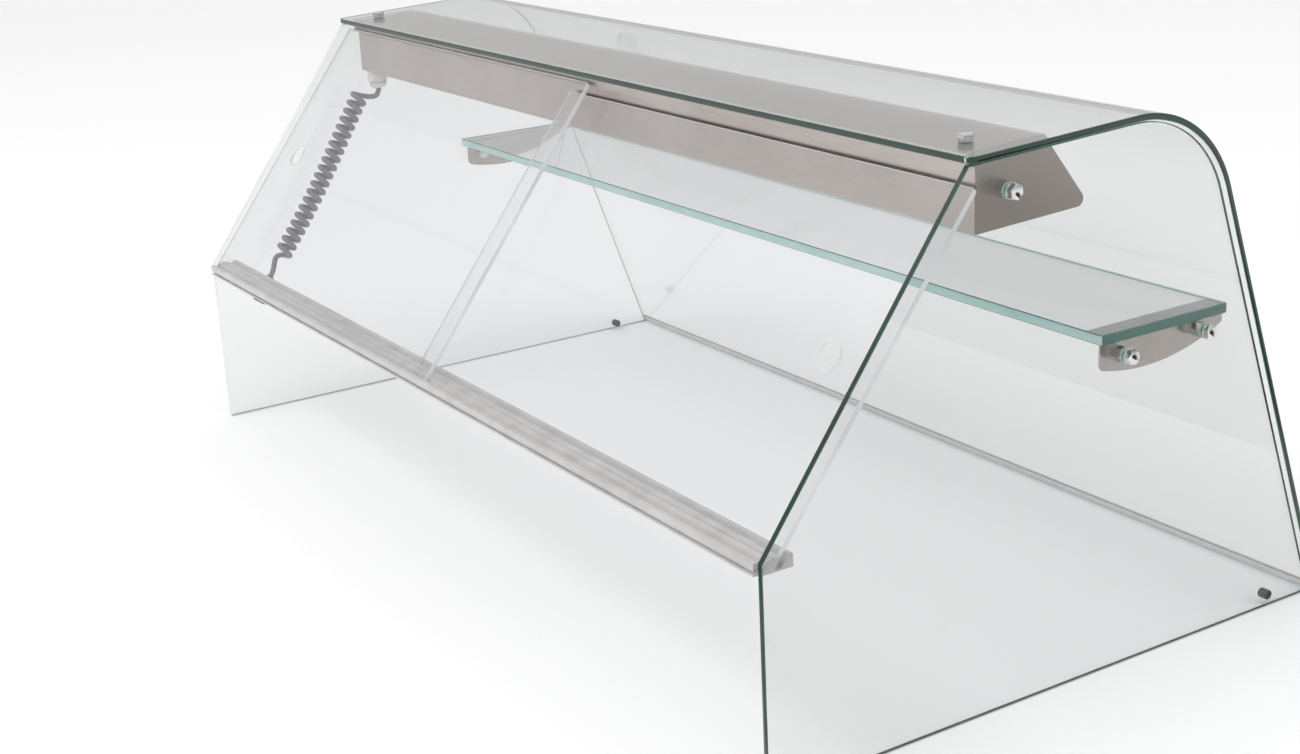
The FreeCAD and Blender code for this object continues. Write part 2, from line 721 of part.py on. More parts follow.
def make_gland():
    """The cable gland under the canopy's left end: body, dome nut and locknut."""
    def fix(obj, drop):
        place(obj, "gland_x", world_y(f"gland_y + ({drop}) * sin(top_tilt)"),
              world_z(f"{canopy_low('gland_y')} - ({drop}) * cos(top_tilt)"), (1, 0, 0), "top_tilt")

    hexa = hexagon("gland_hex", "gland_flats", "gland_hex_high", False)
    stub = rod("gland_stub", "gland_stub_radius", "gland_stub_high + gland_hex_high")
    solid = join("gland_solid", hexa, stub)
    bore = rod("gland_bore", "cord_radius + cord_play", "gland_hex_high * 4", "-gland_hex_high")
    body = cut("gland_body", solid, bore)
    fix(body, "gland_hex_high")
    keep(body, "gland_body")
    dome = doc.addObject("Part::Cone", "gland_cone")
    dome.setExpression("Radius1", bind("gland_dome_foot"))
    dome.setExpression("Radius2", bind("gland_dome_radius"))
    dome.setExpression("Height", bind("gland_dome_high"))
    bore = rod("gland_dome_bore", "cord_radius + cord_play", "gland_dome_high * 3", "-gland_dome_high")
    nut = cut("gland_dome", dome, bore)
    fix(nut, "gland_hex_high + gland_dome_high")
    keep(nut, "gland_dome")
    ring = hexagon("gland_locknut", "locknut_flats", "locknut_high", False)
    bore = rod("gland_lock_bore", "gland_stub_radius + thread_play", "locknut_high * 3", "-locknut_high")
    lock = cut("gland_locknut", ring, bore)
    fix(lock, "-(canopy_sheet + groove_play)")
    keep(lock, "gland_locknut")


def tube_along(points, radius):
    """A round tube whose path is straight runs joined by the largest tangent arcs."""
    edges = []
    last = points[0]
    for before, here, after in zip(points, points[1:], points[2:]):
        arriving = (here - before).normalize()
        leaving = (after - here).normalize()
        turn = arriving.getAngle(leaving)
        setback = 0.45 * min((here - before).Length, (after - here).Length)
        bend = setback / math.tan(turn / 2)
        print(f"cord bend of {bend:.1f} mm")
        start, end = here - arriving * setback, here + leaving * setback
        inward = (leaving - arriving).normalize()
        middle = here + inward * (bend / math.cos(turn / 2) - bend)
        edges.append(Part.LineSegment(last, start).toShape())
        edges.append(Part.Arc(start, middle, end).toShape())
        last = end
    edges.append(Part.LineSegment(last, points[-1]).toShape())
    path = Part.Wire(edges)
    first = points[1] - points[0]
    section = Part.Wire(Part.makeCircle(radius, points[0], first))
    tube = path.makePipeShell([section], True, True)
    expected = math.pi * radius ** 2 * path.Length
    if abs(tube.Volume - expected) > 0.02 * expected:
        raise RuntimeError("a cord tube has the wrong volume")
    return tube


def cord_point(along, up):
    """A point of the cord's plane, from distances behind the datums."""
    return FreeCAD.Vector(value("cord_x"), value(world_y(along)), value(world_z(up)))


def make_cord():
    """The lead out of the gland, the curly stretch as one fat tube, and the plug."""
    radius = value("cord_radius")
    lead = doc.addObject("Part::Feature", "cord_lead")
    lead.Shape = tube_along([cord_point(*point) for point in LEAD_ROUTE], radius)
    keep(lead, "cord_lead")
    route = [cord_point(*point) for point in COIL_ROUTE]
    coil = doc.addObject("Part::Feature", "cord_coil")
    coil.Shape = tube_along(route, value("coil_radius"))
    keep(coil, "cord_coil")
    away = (route[-1] - route[-2]).normalize()
    collar = Part.makeCone(value("plug_neck"), value("plug_radius"), value("plug_neck_long"), route[-1], away)
    start = route[-1] + away * value("plug_neck_long")
    barrel = Part.makeCylinder(value("plug_radius"), value("plug_long"), start, away)
    plug = doc.addObject("Part::Feature", "cord_plug")
    plug.Shape = collar.fuse(barrel).removeSplitter()
    keep(plug, "cord_plug")


def make_seal():
    """The rubber channel on the bent glass's lower edge."""
    body = doc.addObject("PartDesign::Body", "front_seal")
    sketch = new_sketch(body, "section", "YZ_Plane", "-bent_length / 2")
    wide = "glass_thick / 2 + seal_wall"
    gap = "glass_thick / 2 + seal_play"
    points = [(f"-({wide})", "-seal_wall"), (wide, "-seal_wall"), (wide, "seal_high"), (gap, "seal_high"),
              (gap, "0"), (f"-({gap})", "0"), (f"-({gap})", "seal_high"), (f"-({wide})", "seal_high")]
    outline(sketch, points)
    pad(body, sketch, "bent_length")
    middle_y = f"{LOW_Y} - glass_thick / 2 * sin(front_tilt)"
    middle_z = "bent_low_z - glass_thick / 2 * cos(front_tilt)"
    place(body, "0", world_y(f"{middle_y} + seal_play * cos(front_tilt)"),
          world_z(f"{middle_z} - seal_play * sin(front_tilt)"), (1, 0, 0), "90 - front_tilt")
    keep(body, "front_seal")


def make_stop(name, sign):
    """A rubber stop on an end glass, near the foot of the bent glass."""
    stop = rod(name, "stop_radius", "stop_long")
    face = "end_span / 2 - glass_thick"
    x = face if sign > 0 else f"-({face})"
    place(stop, x, world_y("stop_y"), world_z("stop_z"), (0, 1, 0), "-90" if sign > 0 else "90")
    keep(stop, name)


def build():
    make_bent_glass()
    door_edge = "end_span / 2 - glass_thick - door_gap"
    make_door("left_door", "outer_door_y", "outer_door_top", f"-({door_edge})", "outer_door_inner_edge",
              f"-({door_edge}) + outer_hole_inset")
    make_door("right_door", "inner_door_y", "inner_door_top", "inner_door_inner_edge", door_edge,
              f"{door_edge} - inner_hole_inset")
    make_track()
    make_canopy()
    make_lamp()
    make_shelf()
    for side, sign in SIDES:
        make_end_glass(f"{side}_end_glass", sign)
        make_canopy_end(f"{side}_canopy_end", sign)
        make_bracket(f"{side}_shelf_bracket", sign)
        make_fixing(f"{side}_canopy", sign, "canopy_bolt_y", "canopy_bolt_z",
                    "canopy_length / 2 + end_plate_gap + end_plate", "end_plate + end_plate_gap")
        for place_name in ("rear", "front"):
            make_fixing(f"{side}_shelf_{place_name}", sign, f"shelf_bolt_{place_name}_y",
                        f"shelf_bolt_{place_name}_z", "bracket_face", "bracket_sheet")
        make_cap_fixing(side, sign)
        make_stop(f"{side}_glass_stop", sign)
    make_gland()
    make_cord()
    make_seal()


def check_and_export():
    """Stop on any failed object, then write each sub-part's own file."""
    doc.recompute()
    for obj in doc.Objects:
        if "Invalid" in obj.State or "Error" in obj.State:
            raise RuntimeError(f"{obj.Name} failed: {obj.State}")
    os.makedirs("parts", exist_ok=True)
    for node in nodes:
        if node.Shape.isNull() or not node.Shape.isValid():
            raise RuntimeError(f"{node.Label} has no valid shape")
        node.Shape.exportStep(f"parts/{node.Label}.step")
    box = Part.makeCompound([node.Shape for node in nodes]).BoundBox
    print(f"{len(nodes)} sub-parts, box {box}")


sheet = make_sheet()
build()
check_and_export()
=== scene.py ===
# %% [markdown]
# # A sneeze guard, finished in Blender
#
# The object is the glass superstructure of a serve-over food counter. CAD fixed every size and
# every moving body. This script loads that frame, puts a finished piece in the place of each plain
# solid, gives each surface a material made of nodes, and sets up light, floor and camera.
# The order is: frame, camera, materials, glass, sheet metal, fixings, gland, lamp, cord, studio.

# %% Load the frame
import json
import math

import bmesh
import bpy
from mathutils import Matrix, Vector


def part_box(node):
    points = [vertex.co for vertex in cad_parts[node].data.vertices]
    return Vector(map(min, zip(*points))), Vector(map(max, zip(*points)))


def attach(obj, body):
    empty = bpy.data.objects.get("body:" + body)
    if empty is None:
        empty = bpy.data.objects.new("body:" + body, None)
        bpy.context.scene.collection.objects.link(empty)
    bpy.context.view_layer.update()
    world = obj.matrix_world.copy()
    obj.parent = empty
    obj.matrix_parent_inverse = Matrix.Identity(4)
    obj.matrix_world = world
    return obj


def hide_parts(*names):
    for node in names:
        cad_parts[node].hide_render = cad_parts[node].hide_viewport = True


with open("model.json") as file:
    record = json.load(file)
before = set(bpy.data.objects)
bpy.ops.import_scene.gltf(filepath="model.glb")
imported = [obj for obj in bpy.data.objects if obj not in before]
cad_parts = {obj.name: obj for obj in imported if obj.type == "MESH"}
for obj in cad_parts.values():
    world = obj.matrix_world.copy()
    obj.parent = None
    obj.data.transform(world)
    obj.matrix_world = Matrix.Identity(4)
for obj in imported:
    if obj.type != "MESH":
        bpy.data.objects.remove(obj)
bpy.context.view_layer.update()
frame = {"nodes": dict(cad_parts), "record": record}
MM = 0.001
BODIES = frame["record"]["behaviour"]["bodies"]
BODY_OF = {node: body for body, nodes in BODIES.items() for node in nodes}
print("bodies:", {body: len(nodes) for body, nodes in BODIES.items()})

# %% [markdown]
# The camera stands on the operator's side, beyond the right-hand end and a little above the guard,
# and looks along it. Its turn is given as three angles, because that is how a photographer would
# say it: which way round, how far down, and how much the horizon tips.

# %% Camera
AZIMUTH, ELEVATION, ROLL = 58.45, 18.24, -2.87
LENS_MM, FAR_CLIP = 53.25, 100
CAMERA_PLACE = Vector((1.8140, -1.1631, 0.8537))


def look(azimuth, elevation, roll):
    """A camera's turn, from degrees round Z, down from level and about its line of sight."""
    heading = Matrix.Rotation(math.radians(azimuth), 4, "Z")
    tip = Matrix.Rotation(math.radians(90 - elevation), 4, "X")
    return heading @ tip @ Matrix.Rotation(math.radians(roll), 4, "Z")


camera = bpy.data.objects.new("camera", bpy.data.cameras.new("camera"))
bpy.context.scene.collection.objects.link(camera)
camera.data.lens = LENS_MM
camera.data.clip_end = FAR_CLIP
camera.matrix_world = Matrix.Translation(CAMERA_PLACE) @ look(AZIMUTH, ELEVATION, ROLL)
bpy.context.scene.camera = camera
print("camera at", tuple(round(v, 3) for v in CAMERA_PLACE))

# %% [markdown]
# Materials come first, since every piece needs one. Colours are chosen as sRGB hex codes, which a
# shader can't use directly, so one function turns them to linear light. A second adds a node with
# its settings and links in a single call, which keeps each material short enough to read. Sums
# inside a tree are so common that they get a helper of their own.

# %% Colour and node helpers
def linear(code, alpha=1.0):
    """An sRGB hex colour as linear RGBA."""
    channels = [int(code[i:i + 2], 16) / 255 for i in (1, 3, 5)]
    return [c / 12.92 if c <= 0.04045 else ((c + 0.055) / 1.055) ** 2.4 for c in channels] + [alpha]


def add_node(tree, kind, inputs=None, **settings):
    """Add a node, set its properties, and give each input a value or a link."""
    node = tree.nodes.new(kind)
    for key, setting in settings.items():
        setattr(node, key, setting)
    for key, given in (inputs or {}).items():
        if isinstance(given, bpy.types.NodeSocket):
            tree.links.new(given, node.inputs[key])
        else:
            node.inputs[key].default_value = given
    return node


def maths(tree, operation, *values):
    """A Math node over values or sockets, as its output socket."""
    node = add_node(tree, "ShaderNodeMath", dict(enumerate(values)), operation=operation)
    return node.outputs[0]


def new_material(name, **settings):
    """A material with one Principled shader, and its own sockets set."""
    material = bpy.data.materials.new(name)
    material.use_nodes = True
    tree = material.node_tree
    shader = tree.nodes["Principled BSDF"]
    for key, setting in settings.items():
        shader.inputs[key.replace("_", " ")].default_value = setting
    return material, tree, shader


def surface_noise(tree, size_mm, stretch=(1, 1, 1), detail=3.0):
    """Noise over the piece whose blobs are about size_mm across, drawn out by stretch."""
    place = add_node(tree, "ShaderNodeTexCoord")
    scale = [1000 / size_mm / s for s in stretch]
    spread = add_node(tree, "ShaderNodeMapping",
                      {"Vector": place.outputs["Object"], "Scale": scale})
    noise = add_node(tree, "ShaderNodeTexNoise",
                     {"Vector": spread.outputs[0], "Scale": 1.0, "Detail": detail})
    return noise.outputs[0]


def shade_between(tree, factor, first, second, low=0.3, high=0.7):
    """A ramp from one hex colour to another."""
    ramp = add_node(tree, "ShaderNodeValToRGB", {"Fac": factor})
    for element, position, code in zip(ramp.color_ramp.elements, (low, high), (first, second)):
        element.position, element.color = position, linear(code)
    return ramp.outputs[0]


def rough_and_raised(tree, shader, noise, low, high, height_mm):
    """Drive a shader's roughness and a small bump from one noise."""
    spread = add_node(tree, "ShaderNodeMapRange", {"Value": noise, "To Min": low, "To Max": high})
    tree.links.new(spread.outputs[0], shader.inputs["Roughness"])
    bump = add_node(tree, "ShaderNodeBump", {"Height": noise, "Distance": height_mm * MM})
    tree.links.new(bump.outputs[0], shader.inputs["Normal"])


print("helpers ready")

# %% [markdown]
# Float glass is clear from the front and dark green from the edge, because light that reaches the
# edge has come a long way through iron-tinted glass. Rays are too few to find that path, so a pane
# has two materials: a clear one for its faces and an opaque green one for its polished edge.
# Lamp light has to get through a pane to what stands behind it, so the clear material lets shadow
# and diffuse rays straight through and keeps its refraction for what the camera sees.

# %% Clear sheet materials
def clear_sheet(name, tint, ior, wave_mm, wave_high_mm):
    """A smooth clear sheet with the faint waviness that its making leaves."""
    material, tree, shader = new_material(name, Base_Color=linear(tint), Roughness=0.0, IOR=ior,
                                          Transmission_Weight=1.0)
    wave = surface_noise(tree, wave_mm, stretch=(3, 1, 1), detail=0.0)
    bump = add_node(tree, "ShaderNodeBump", {"Height": wave, "Distance": wave_high_mm * MM})
    tree.links.new(bump.outputs[0], shader.inputs["Normal"])
    path = add_node(tree, "ShaderNodeLightPath")
    through = maths(tree, "MAXIMUM", path.outputs["Is Shadow Ray"], path.outputs["Is Diffuse Ray"])
    open_way = add_node(tree, "ShaderNodeBsdfTransparent", {"Color": linear(tint)})
    mix = add_node(tree, "ShaderNodeMixShader",
                   {0: through, 1: shader.outputs[0], 2: open_way.outputs[0]})
    tree.links.new(mix.outputs[0], tree.nodes["Material Output"].inputs["Surface"])
    return material


float_glass = clear_sheet("float_glass", "#f0f1f1", 1.5, 160.0, 0.02)
clear_acrylic = clear_sheet("cast_acrylic", "#fafafb", 1.49, 90.0, 0.03)
print("clear sheets:", float_glass.name, clear_acrylic.name)

# %% [markdown]
# A polished edge is never one green. It drifts over a few centimetres as the light behind it does,
# and its gloss drifts too, so both follow one slow noise. A thin clear coat gives the last polish.
# A thick shelf is paler than a thin pane. Acrylic is polished with a flame, and its edges are made
# white: a painted highlight for the light they catch.

# %% Polished edge materials
POLISH_MARK_MM = 0.01


def polished_edge(name, dark, light, size_mm, smooth, rough):
    """An edge that has been ground and polished: glossy, with a slow change of tone."""
    material, tree, shader = new_material(name, IOR=1.5, Coat_Weight=0.2, Coat_Roughness=0.04)
    tone = surface_noise(tree, size_mm, detail=2.0)
    tree.links.new(shade_between(tree, tone, dark, light), shader.inputs["Base Color"])
    rough_and_raised(tree, shader, tone, smooth, rough, POLISH_MARK_MM)
    return material


green_edge = polished_edge("float_glass_polished_edge", "#08231b", "#113629", 54.0, 0.08, 0.22)
corner_glint = polished_edge("float_glass_corner_glint", "#9dbab1", "#cfe0da", 18.0, 0.05, 0.12)
green_arris = polished_edge("float_glass_arris", "#1d4437", "#3f6a5c", 30.0, 0.1, 0.25)
# painted reflection: a pale edge colour for the bright room mirrored in the far end glass's polish
edge_painted_reflection = polished_edge("float_glass_edge_painted_reflection", "#dbe0df", "#f1f4f3", 84.0, 0.06, 0.16)
shelf_long_edge = polished_edge("shelf_glass_long_edge", "#b0d8d2", "#c4e5e0", 72.0, 0.06, 0.18)
shelf_end_edge = polished_edge("shelf_glass_end_edge", "#1d5a4f", "#2f6f64", 72.0, 0.06, 0.18)
shelf_arris = polished_edge("shelf_glass_arris", "#31695f", "#4a837a", 36.0, 0.08, 0.2)
# painted highlight: the doors' acrylic edges and arris are coloured near white for the light they
# catch
painted_highlight_edge = polished_edge("acrylic_edge_painted_highlight", "#e3e5e7", "#fafbfb", 84.0, 0.12, 0.3)
print("edges:", green_edge.name, shelf_long_edge.name, painted_highlight_edge.name)

# %% [markdown]
# The canopy and the brackets are stainless sheet with a brushed finish. Its scratches run one way
# and are finer than a render can show, so they are drawn a millimetre or so apart and very shallow.
# A noise stretched thirty times along the brushing direction makes them. The end plates are brushed
# front to back, and their darker base colour is painted shade for how brushed steel looks when it
# is seen along its scratches.

# %% Metals
SCRATCH_GAP_MM, SCRATCH_DEEP_MM, CLOUD_MM = 1.2, 0.0006, 160.0
HANDLING_MM, HANDLING_DEEP_MM = 7.0, 0.06


def brushed_steel(name, dark, light, stretch, smooth, rough):
    """Stainless sheet with fine one-way scratches and a slow change of tone over the sheet."""
    material, tree, shader = new_material(name, Metallic=1.0, Anisotropic=0.4)
    scratch = surface_noise(tree, SCRATCH_GAP_MM, stretch, detail=2.0)
    cloud = surface_noise(tree, CLOUD_MM, detail=2.0)
    both = add_node(tree, "ShaderNodeMix", {"Factor": 0.5, 2: scratch, 3: cloud}, data_type="FLOAT")
    tree.links.new(shade_between(tree, both.outputs[0], dark, light), shader.inputs["Base Color"])
    rough_and_raised(tree, shader, scratch, smooth, rough, SCRATCH_DEEP_MM)
    return material


def bright_plate(name, dark, light):
    """Bright plated steel with fine handling marks."""
    material, tree, shader = new_material(name, Metallic=1.0)
    marks = surface_noise(tree, HANDLING_MM, detail=1.0)
    tree.links.new(shade_between(tree, marks, dark, light), shader.inputs["Base Color"])
    rough_and_raised(tree, shader, marks, 0.04, 0.1, HANDLING_DEEP_MM)
    return material


canopy_steel = brushed_steel("brushed_stainless_lengthways", "#aaa19c", "#c4bcb7", (30, 1, 1),
                             0.24, 0.4)
# painted shade: the end plates' base colour is darker than the canopy's
end_steel_painted_shade = brushed_steel("brushed_stainless_crossways_painted_shade", "#857c73", "#968d85", (1, 30, 1),
                          0.3, 0.46)
bracket_steel = brushed_steel("polished_stainless", "#a49c96", "#c3bcb7", (1, 20, 1), 0.14, 0.26)
bright_steel = bright_plate("bright_chrome_plate", "#c9cacb", "#dcdddd")
print("metals:", canopy_steel.name, end_steel_painted_shade.name, bracket_steel.name, bright_steel.name)

# %% [markdown]
# The rest are plastics, rubber and enamel. Each is one small recipe: a base colour that drifts a
# little, a roughness that drifts with it, and a bump of the height that its mould or spray leaves.

# %% Plastics, rubber and enamel
def moulded(name, dark, light, size_mm, smooth, rough, height_mm, **settings):
    """A moulded or sprayed surface with a fine grain."""
    material, tree, shader = new_material(name, **settings)
    grain = surface_noise(tree, size_mm)
    tree.links.new(shade_between(tree, grain, dark, light), shader.inputs["Base Color"])
    rough_and_raised(tree, shader, grain, smooth, rough, height_mm)
    return material


track_plastic = moulded("extruded_clear_grey_pvc", "#c9c7c6", "#dcdad9", 30.0, 0.16, 0.3, 0.01,
                        Transmission_Weight=0.25, Coat_Weight=0.3)
washer_nylon = moulded("natural_nylon", "#c3d0c4", "#dbe4da", 4.0, 0.3, 0.5, 0.01,
                       Subsurface_Weight=0.2)
gland_nylon = moulded("light_grey_nylon", "#d4d4d3", "#e2e2e0", 2.0, 0.32, 0.5, 0.01)
cord_sheath = moulded("grey_polyurethane_sheath", "#64626a", "#77757d", 3.0, 0.32, 0.5, 0.008)
plug_plastic = moulded("moulded_grey_plug", "#525157", "#616066", 1.5, 0.45, 0.62, 0.02)
black_rubber = moulded("black_epdm_rubber", "#161616", "#262626", 1.0, 0.55, 0.8, 0.02)
opal_tube = moulded("opal_tube_glass", "#efefea", "#fafaf6", 20.0, 0.15, 0.25, 0.002)
opal_sheet = moulded("opal_acrylic", "#e9e9e6", "#f4f4f1", 25.0, 0.2, 0.32, 0.005,
                     Subsurface_Weight=0.3)
lamp_moulding = moulded("white_polycarbonate", "#e3e3df", "#eeeeea", 2.0, 0.35, 0.5, 0.01)
clear_silicone = moulded("translucent_silicone", "#cfd1d1", "#e2e3e3", 6.0, 0.3, 0.45, 0.01,
                         Subsurface_Weight=0.3)
# painted light: a pale grey for the top of the shelf brackets' flanges, seen through the shelf
flange_top_painted_light = moulded("pale_grey_flange_painted_light", "#d2d2d1", "#e0e0df", 2.5, 0.5, 0.65, 0.02)
white_enamel = moulded("white_powder_coat", "#d9d9d6", "#e6e6e3", 0.9, 0.4, 0.55, 0.03)
print("plastics:", track_plastic.name, washer_nylon.name, cord_sheath.name, black_rubber.name)

# %% [markdown]
# Most pieces keep the CAD shape and only lose its perfect edges. A finished piece therefore starts
# as a welded copy of the CAD mesh. Its sharp edges get a narrow bevel, which is what catches the
# light on a real edge. On a pane the bevel is the ground arris and has a material of its own.

# %% Piece helpers
WELD_GAP, FLAT_WITHIN = 0.004 * MM, math.radians(0.4)


def show(name, mesh, node, materials):
    """Put a mesh in the scene in place of one CAD node or several."""
    piece = bpy.data.objects.new(name, mesh)
    bpy.context.scene.collection.objects.link(piece)
    nodes = [node] if isinstance(node, str) else list(node)
    for material in materials:
        mesh.materials.append(material)
    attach(piece, BODY_OF[nodes[0]])
    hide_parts(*nodes)
    return piece


def welded(node):
    """A bmesh copy of a CAD node with its loose triangles joined and flat areas merged."""
    bm = bmesh.new()
    bm.from_mesh(frame["nodes"][node].data)
    bmesh.ops.remove_doubles(bm, verts=bm.verts, dist=WELD_GAP)
    bmesh.ops.dissolve_limit(bm, angle_limit=FLAT_WITHIN, verts=bm.verts, edges=bm.edges)
    for face in bm.faces:
        face.material_index = 0
    return bm


def bevel_sharp(bm, width, segments, sharper_than=25.0):
    """Bevel every edge that turns more than an angle, and return the new faces."""
    limit = math.radians(sharper_than)
    sharp = [e for e in bm.edges if len(e.link_faces) == 2 and e.calc_face_angle(0) > limit]
    made = bmesh.ops.bevel(bm, geom=sharp, offset=width, segments=segments, profile=0.5,
                           affect="EDGES", clamp_overlap=True)
    return made["faces"]


def to_mesh(bm, name, sharper_than=50.0):
    """Write a bmesh to a mesh that shades smoothly up to an angle."""
    for face in bm.faces:
        face.smooth = True
    mesh = bpy.data.meshes.new(name)
    bm.to_mesh(mesh)
    bm.free()
    mesh.set_sharp_from_angle(angle=math.radians(sharper_than))
    return mesh


def weigh_normals(piece):
    """Let large faces keep their own normals, so that flats look flat."""
    piece.modifiers.new("flat_faces", "WEIGHTED_NORMAL").keep_sharp = True


def softened(node, material, width_mm=0.4, segments=2):
    """A CAD node with softened edges and one material."""
    bm = welded(node)
    bevel_sharp(bm, width_mm * MM, segments)
    piece = show(f"finished_{node}", to_mesh(bm, node), node, [material])
    weigh_normals(piece)
    return piece


def pane(node, is_face, materials, width_mm, edge_of=lambda face: 1, painted_reflection_side=None):
    """A clear sheet with polished edges and a ground arris; towards a given side the arris takes
    the edge material, for a painted reflection.
    """
    arris = len(materials) - 1
    bm = welded(node)
    for face in bm.faces:
        face.material_index = 0 if is_face(face) else edge_of(face)
    grind_arris(bm, width_mm, arris)
    for face in bm.faces:
        # arris faces towards this side take the edge material, which there is a painted reflection
        if painted_reflection_side and face.material_index == arris and face.normal.dot(painted_reflection_side) > 0.5:
            face.material_index = 1
    piece = show(f"pane_{node}", to_mesh(bm, node), node, materials)
    weigh_normals(piece)
    print(piece.name, len(piece.data.polygons), "faces")
    return piece


def grind_arris(bm, width_mm, index):
    """Bevel the rims where a face meets an edge, and give the bevel a material."""
    rims = [e for e in bm.edges if len({min(f.material_index, 1) for f in e.link_faces}) == 2]
    made = bmesh.ops.bevel(bm, geom=rims, offset=width_mm * MM, segments=1, profile=0.5,
                           affect="EDGES", clamp_overlap=True)
    for face in made["faces"]:
        face.material_index = index


print("piece helpers ready")

# %% [markdown]
# The end glasses, the shelf and the doors are flat, so a face of the sheet is any face that looks
# along the thickness. For a leaning door that direction is the door's own normal. The shelf's long
# edges are paler than its short ones: light crosses only its width to reach them, not its length.
# The far end glass is seen along its edge, so its edge and outer arris are painted pale in place of
# the green: a painted reflection of the room in the polish.

# %% Flat panes
ARRIS_MM = 0.7
SHELF_ARRIS_MM = 0.9
DOOR_ARRIS_MM = 0.3
DOOR_LEAN = math.radians(52.4)
SIDEWAYS, UPWARD = Vector((1, 0, 0)), Vector((0, 0, 1))
door_normal = Vector((0, math.sin(DOOR_LEAN), -math.cos(DOOR_LEAN)))


def looks_along(direction):
    """A test for faces that look along a direction, either way."""
    return lambda face: abs(face.normal.dot(direction)) > 0.99


pane("right_end_glass", looks_along(SIDEWAYS), [float_glass, green_edge, green_arris], ARRIS_MM)
# painted reflection: the far end glass's edge and outer arris are pale for the room mirrored in
# them
pane("left_end_glass", looks_along(SIDEWAYS), [float_glass, edge_painted_reflection, green_arris], ARRIS_MM,
     painted_reflection_side=SIDEWAYS)
pane("shelf_glass", looks_along(UPWARD),
     [float_glass, shelf_long_edge, shelf_end_edge, shelf_arris], SHELF_ARRIS_MM,
     edge_of=lambda face: 2 if abs(face.normal.x) > 0.7 else 1)
for side in ("left", "right"):
    pane(f"{side}_door", looks_along(door_normal), [clear_acrylic, painted_highlight_edge, painted_highlight_edge],
         DOOR_ARRIS_MM)

# %% [markdown]
# The bent glass is one sheet on a simple rule: a line over the top, a round bend, and a line down
# the front. Geometry Nodes suit that. A three-point curve is filleted at its middle point, a
# straight profile sweeps it to a sheet, and Solidify gives it thickness towards the inside.
# The points come from the corners of the CAD solid and the radius is the bender's former.

# %% Bent glass section
BEND_RADIUS = 122 * MM
GLASS_THICK = 6 * MM
CORNER_RADIUS = 8 * MM
TOP_TILT, FRONT_TILT = math.radians(2.5), math.radians(70.7)
glass_low, glass_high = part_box("bent_glass")
corners = [v.co for v in frame["nodes"]["bent_glass"].data.vertices]
rear_top = max((v for v in corners if v.y < glass_low.y + 0.01 * MM), key=lambda v: v.z)
front_low = max((v for v in corners if v.y > glass_high.y - 0.01 * MM), key=lambda v: v.y)
run = ((front_low.z - rear_top.z) + (front_low.y - rear_top.y) * math.tan(FRONT_TILT)) / (
    math.tan(TOP_TILT) + math.tan(FRONT_TILT))
apex = Vector((0, rear_top.y + run, rear_top.z + run * math.tan(TOP_TILT)))
print("bent glass apex at", [round(v * 1000, 1) for v in apex])

# %% [markdown]
# A tree is made in the script, with its sizes as named inputs, so that one tree can serve pieces of
# several sizes. Its modifier runs on a throwaway carrier and only the plain mesh is kept. Each
# tree ends the same way, by making its instances real and giving them a material.

# %% Bent glass tree
def geometry_tree(name, inputs):
    """A Geometry Nodes tree with named inputs and one geometry output."""
    tree = bpy.data.node_groups.new(name, "GeometryNodeTree")
    tree.interface.new_socket("Geometry", in_out="INPUT", socket_type="NodeSocketGeometry")
    for label, kind, setting in inputs:
        socket = tree.interface.new_socket(label, in_out="INPUT", socket_type=f"NodeSocket{kind}")
        if setting is not None:
            socket.default_value = setting
    tree.interface.new_socket("Geometry", in_out="OUTPUT", socket_type="NodeSocketGeometry")
    return tree, tree.nodes.new("NodeGroupInput"), tree.nodes.new("NodeGroupOutput")


def grown(name, carrier_mesh, tree, values):
    """Run a tree on a carrier mesh and return the result as a plain mesh."""
    carrier = bpy.data.objects.new(name, carrier_mesh)
    bpy.context.scene.collection.objects.link(carrier)
    modifier = carrier.modifiers.new("grow", "NODES")
    modifier.node_group = tree
    for item in tree.interface.items_tree:
        if item.in_out == "INPUT" and item.name in values:
            modifier[item.identifier] = values[item.name]
    graph = bpy.context.evaluated_depsgraph_get()
    mesh = bpy.data.meshes.new_from_object(carrier.evaluated_get(graph))
    bpy.data.objects.remove(carrier)
    mesh.name = name
    return mesh


def bent_sheet_tree():
    """Fillet a three-point line and sweep it sideways to a sheet."""
    tree, given, result = geometry_tree("bent_sheet", [
        ("Bend Radius", "Float", 0.1), ("Length", "Float", 1.0), ("Bend Steps", "Int", 24),
        ("Material", "Material", None)])
    curve = add_node(tree, "GeometryNodeMeshToCurve", {"Mesh": given.outputs["Geometry"]})
    fillet = add_node(tree, "GeometryNodeFilletCurve", {
        "Curve": curve.outputs[0], "Radius": given.outputs["Bend Radius"],
        "Count": given.outputs["Bend Steps"]}, mode="POLY")
    ends = []
    for share in (0.5, -0.5):
        x = maths(tree, "MULTIPLY", given.outputs["Length"], share)
        ends.append(add_node(tree, "ShaderNodeCombineXYZ", {"X": x}).outputs[0])
    profile = add_node(tree, "GeometryNodeCurvePrimitiveLine", {"Start": ends[0], "End": ends[1]})
    sheet = add_node(tree, "GeometryNodeCurveToMesh",
                     {"Curve": fillet.outputs[0], "Profile Curve": profile.outputs[0]})
    finish_tree(tree, given, result, sheet.outputs[0])
    return tree


def finish_tree(tree, given, result, geometry):
    """Realise what a tree has made, paint it and send it out."""
    real = add_node(tree, "GeometryNodeRealizeInstances", {"Geometry": geometry})
    paint = add_node(tree, "GeometryNodeSetMaterial",
                     {"Geometry": real.outputs[0], "Material": given.outputs["Material"]})
    tree.links.new(paint.outputs[0], result.inputs["Geometry"])


print("tree helpers ready")

# %% [markdown]
# The swept sheet is finished by hand: its two rear corners are rounded before it gets thickness,
# its four edges are told from its faces by where they look, and the rims between them are ground.
# The first facets of a rounded corner catch the room's lights, so they get a brighter material.

# %% Bent glass piece
BEND_STEPS, CORNER_STEPS = 28, 6


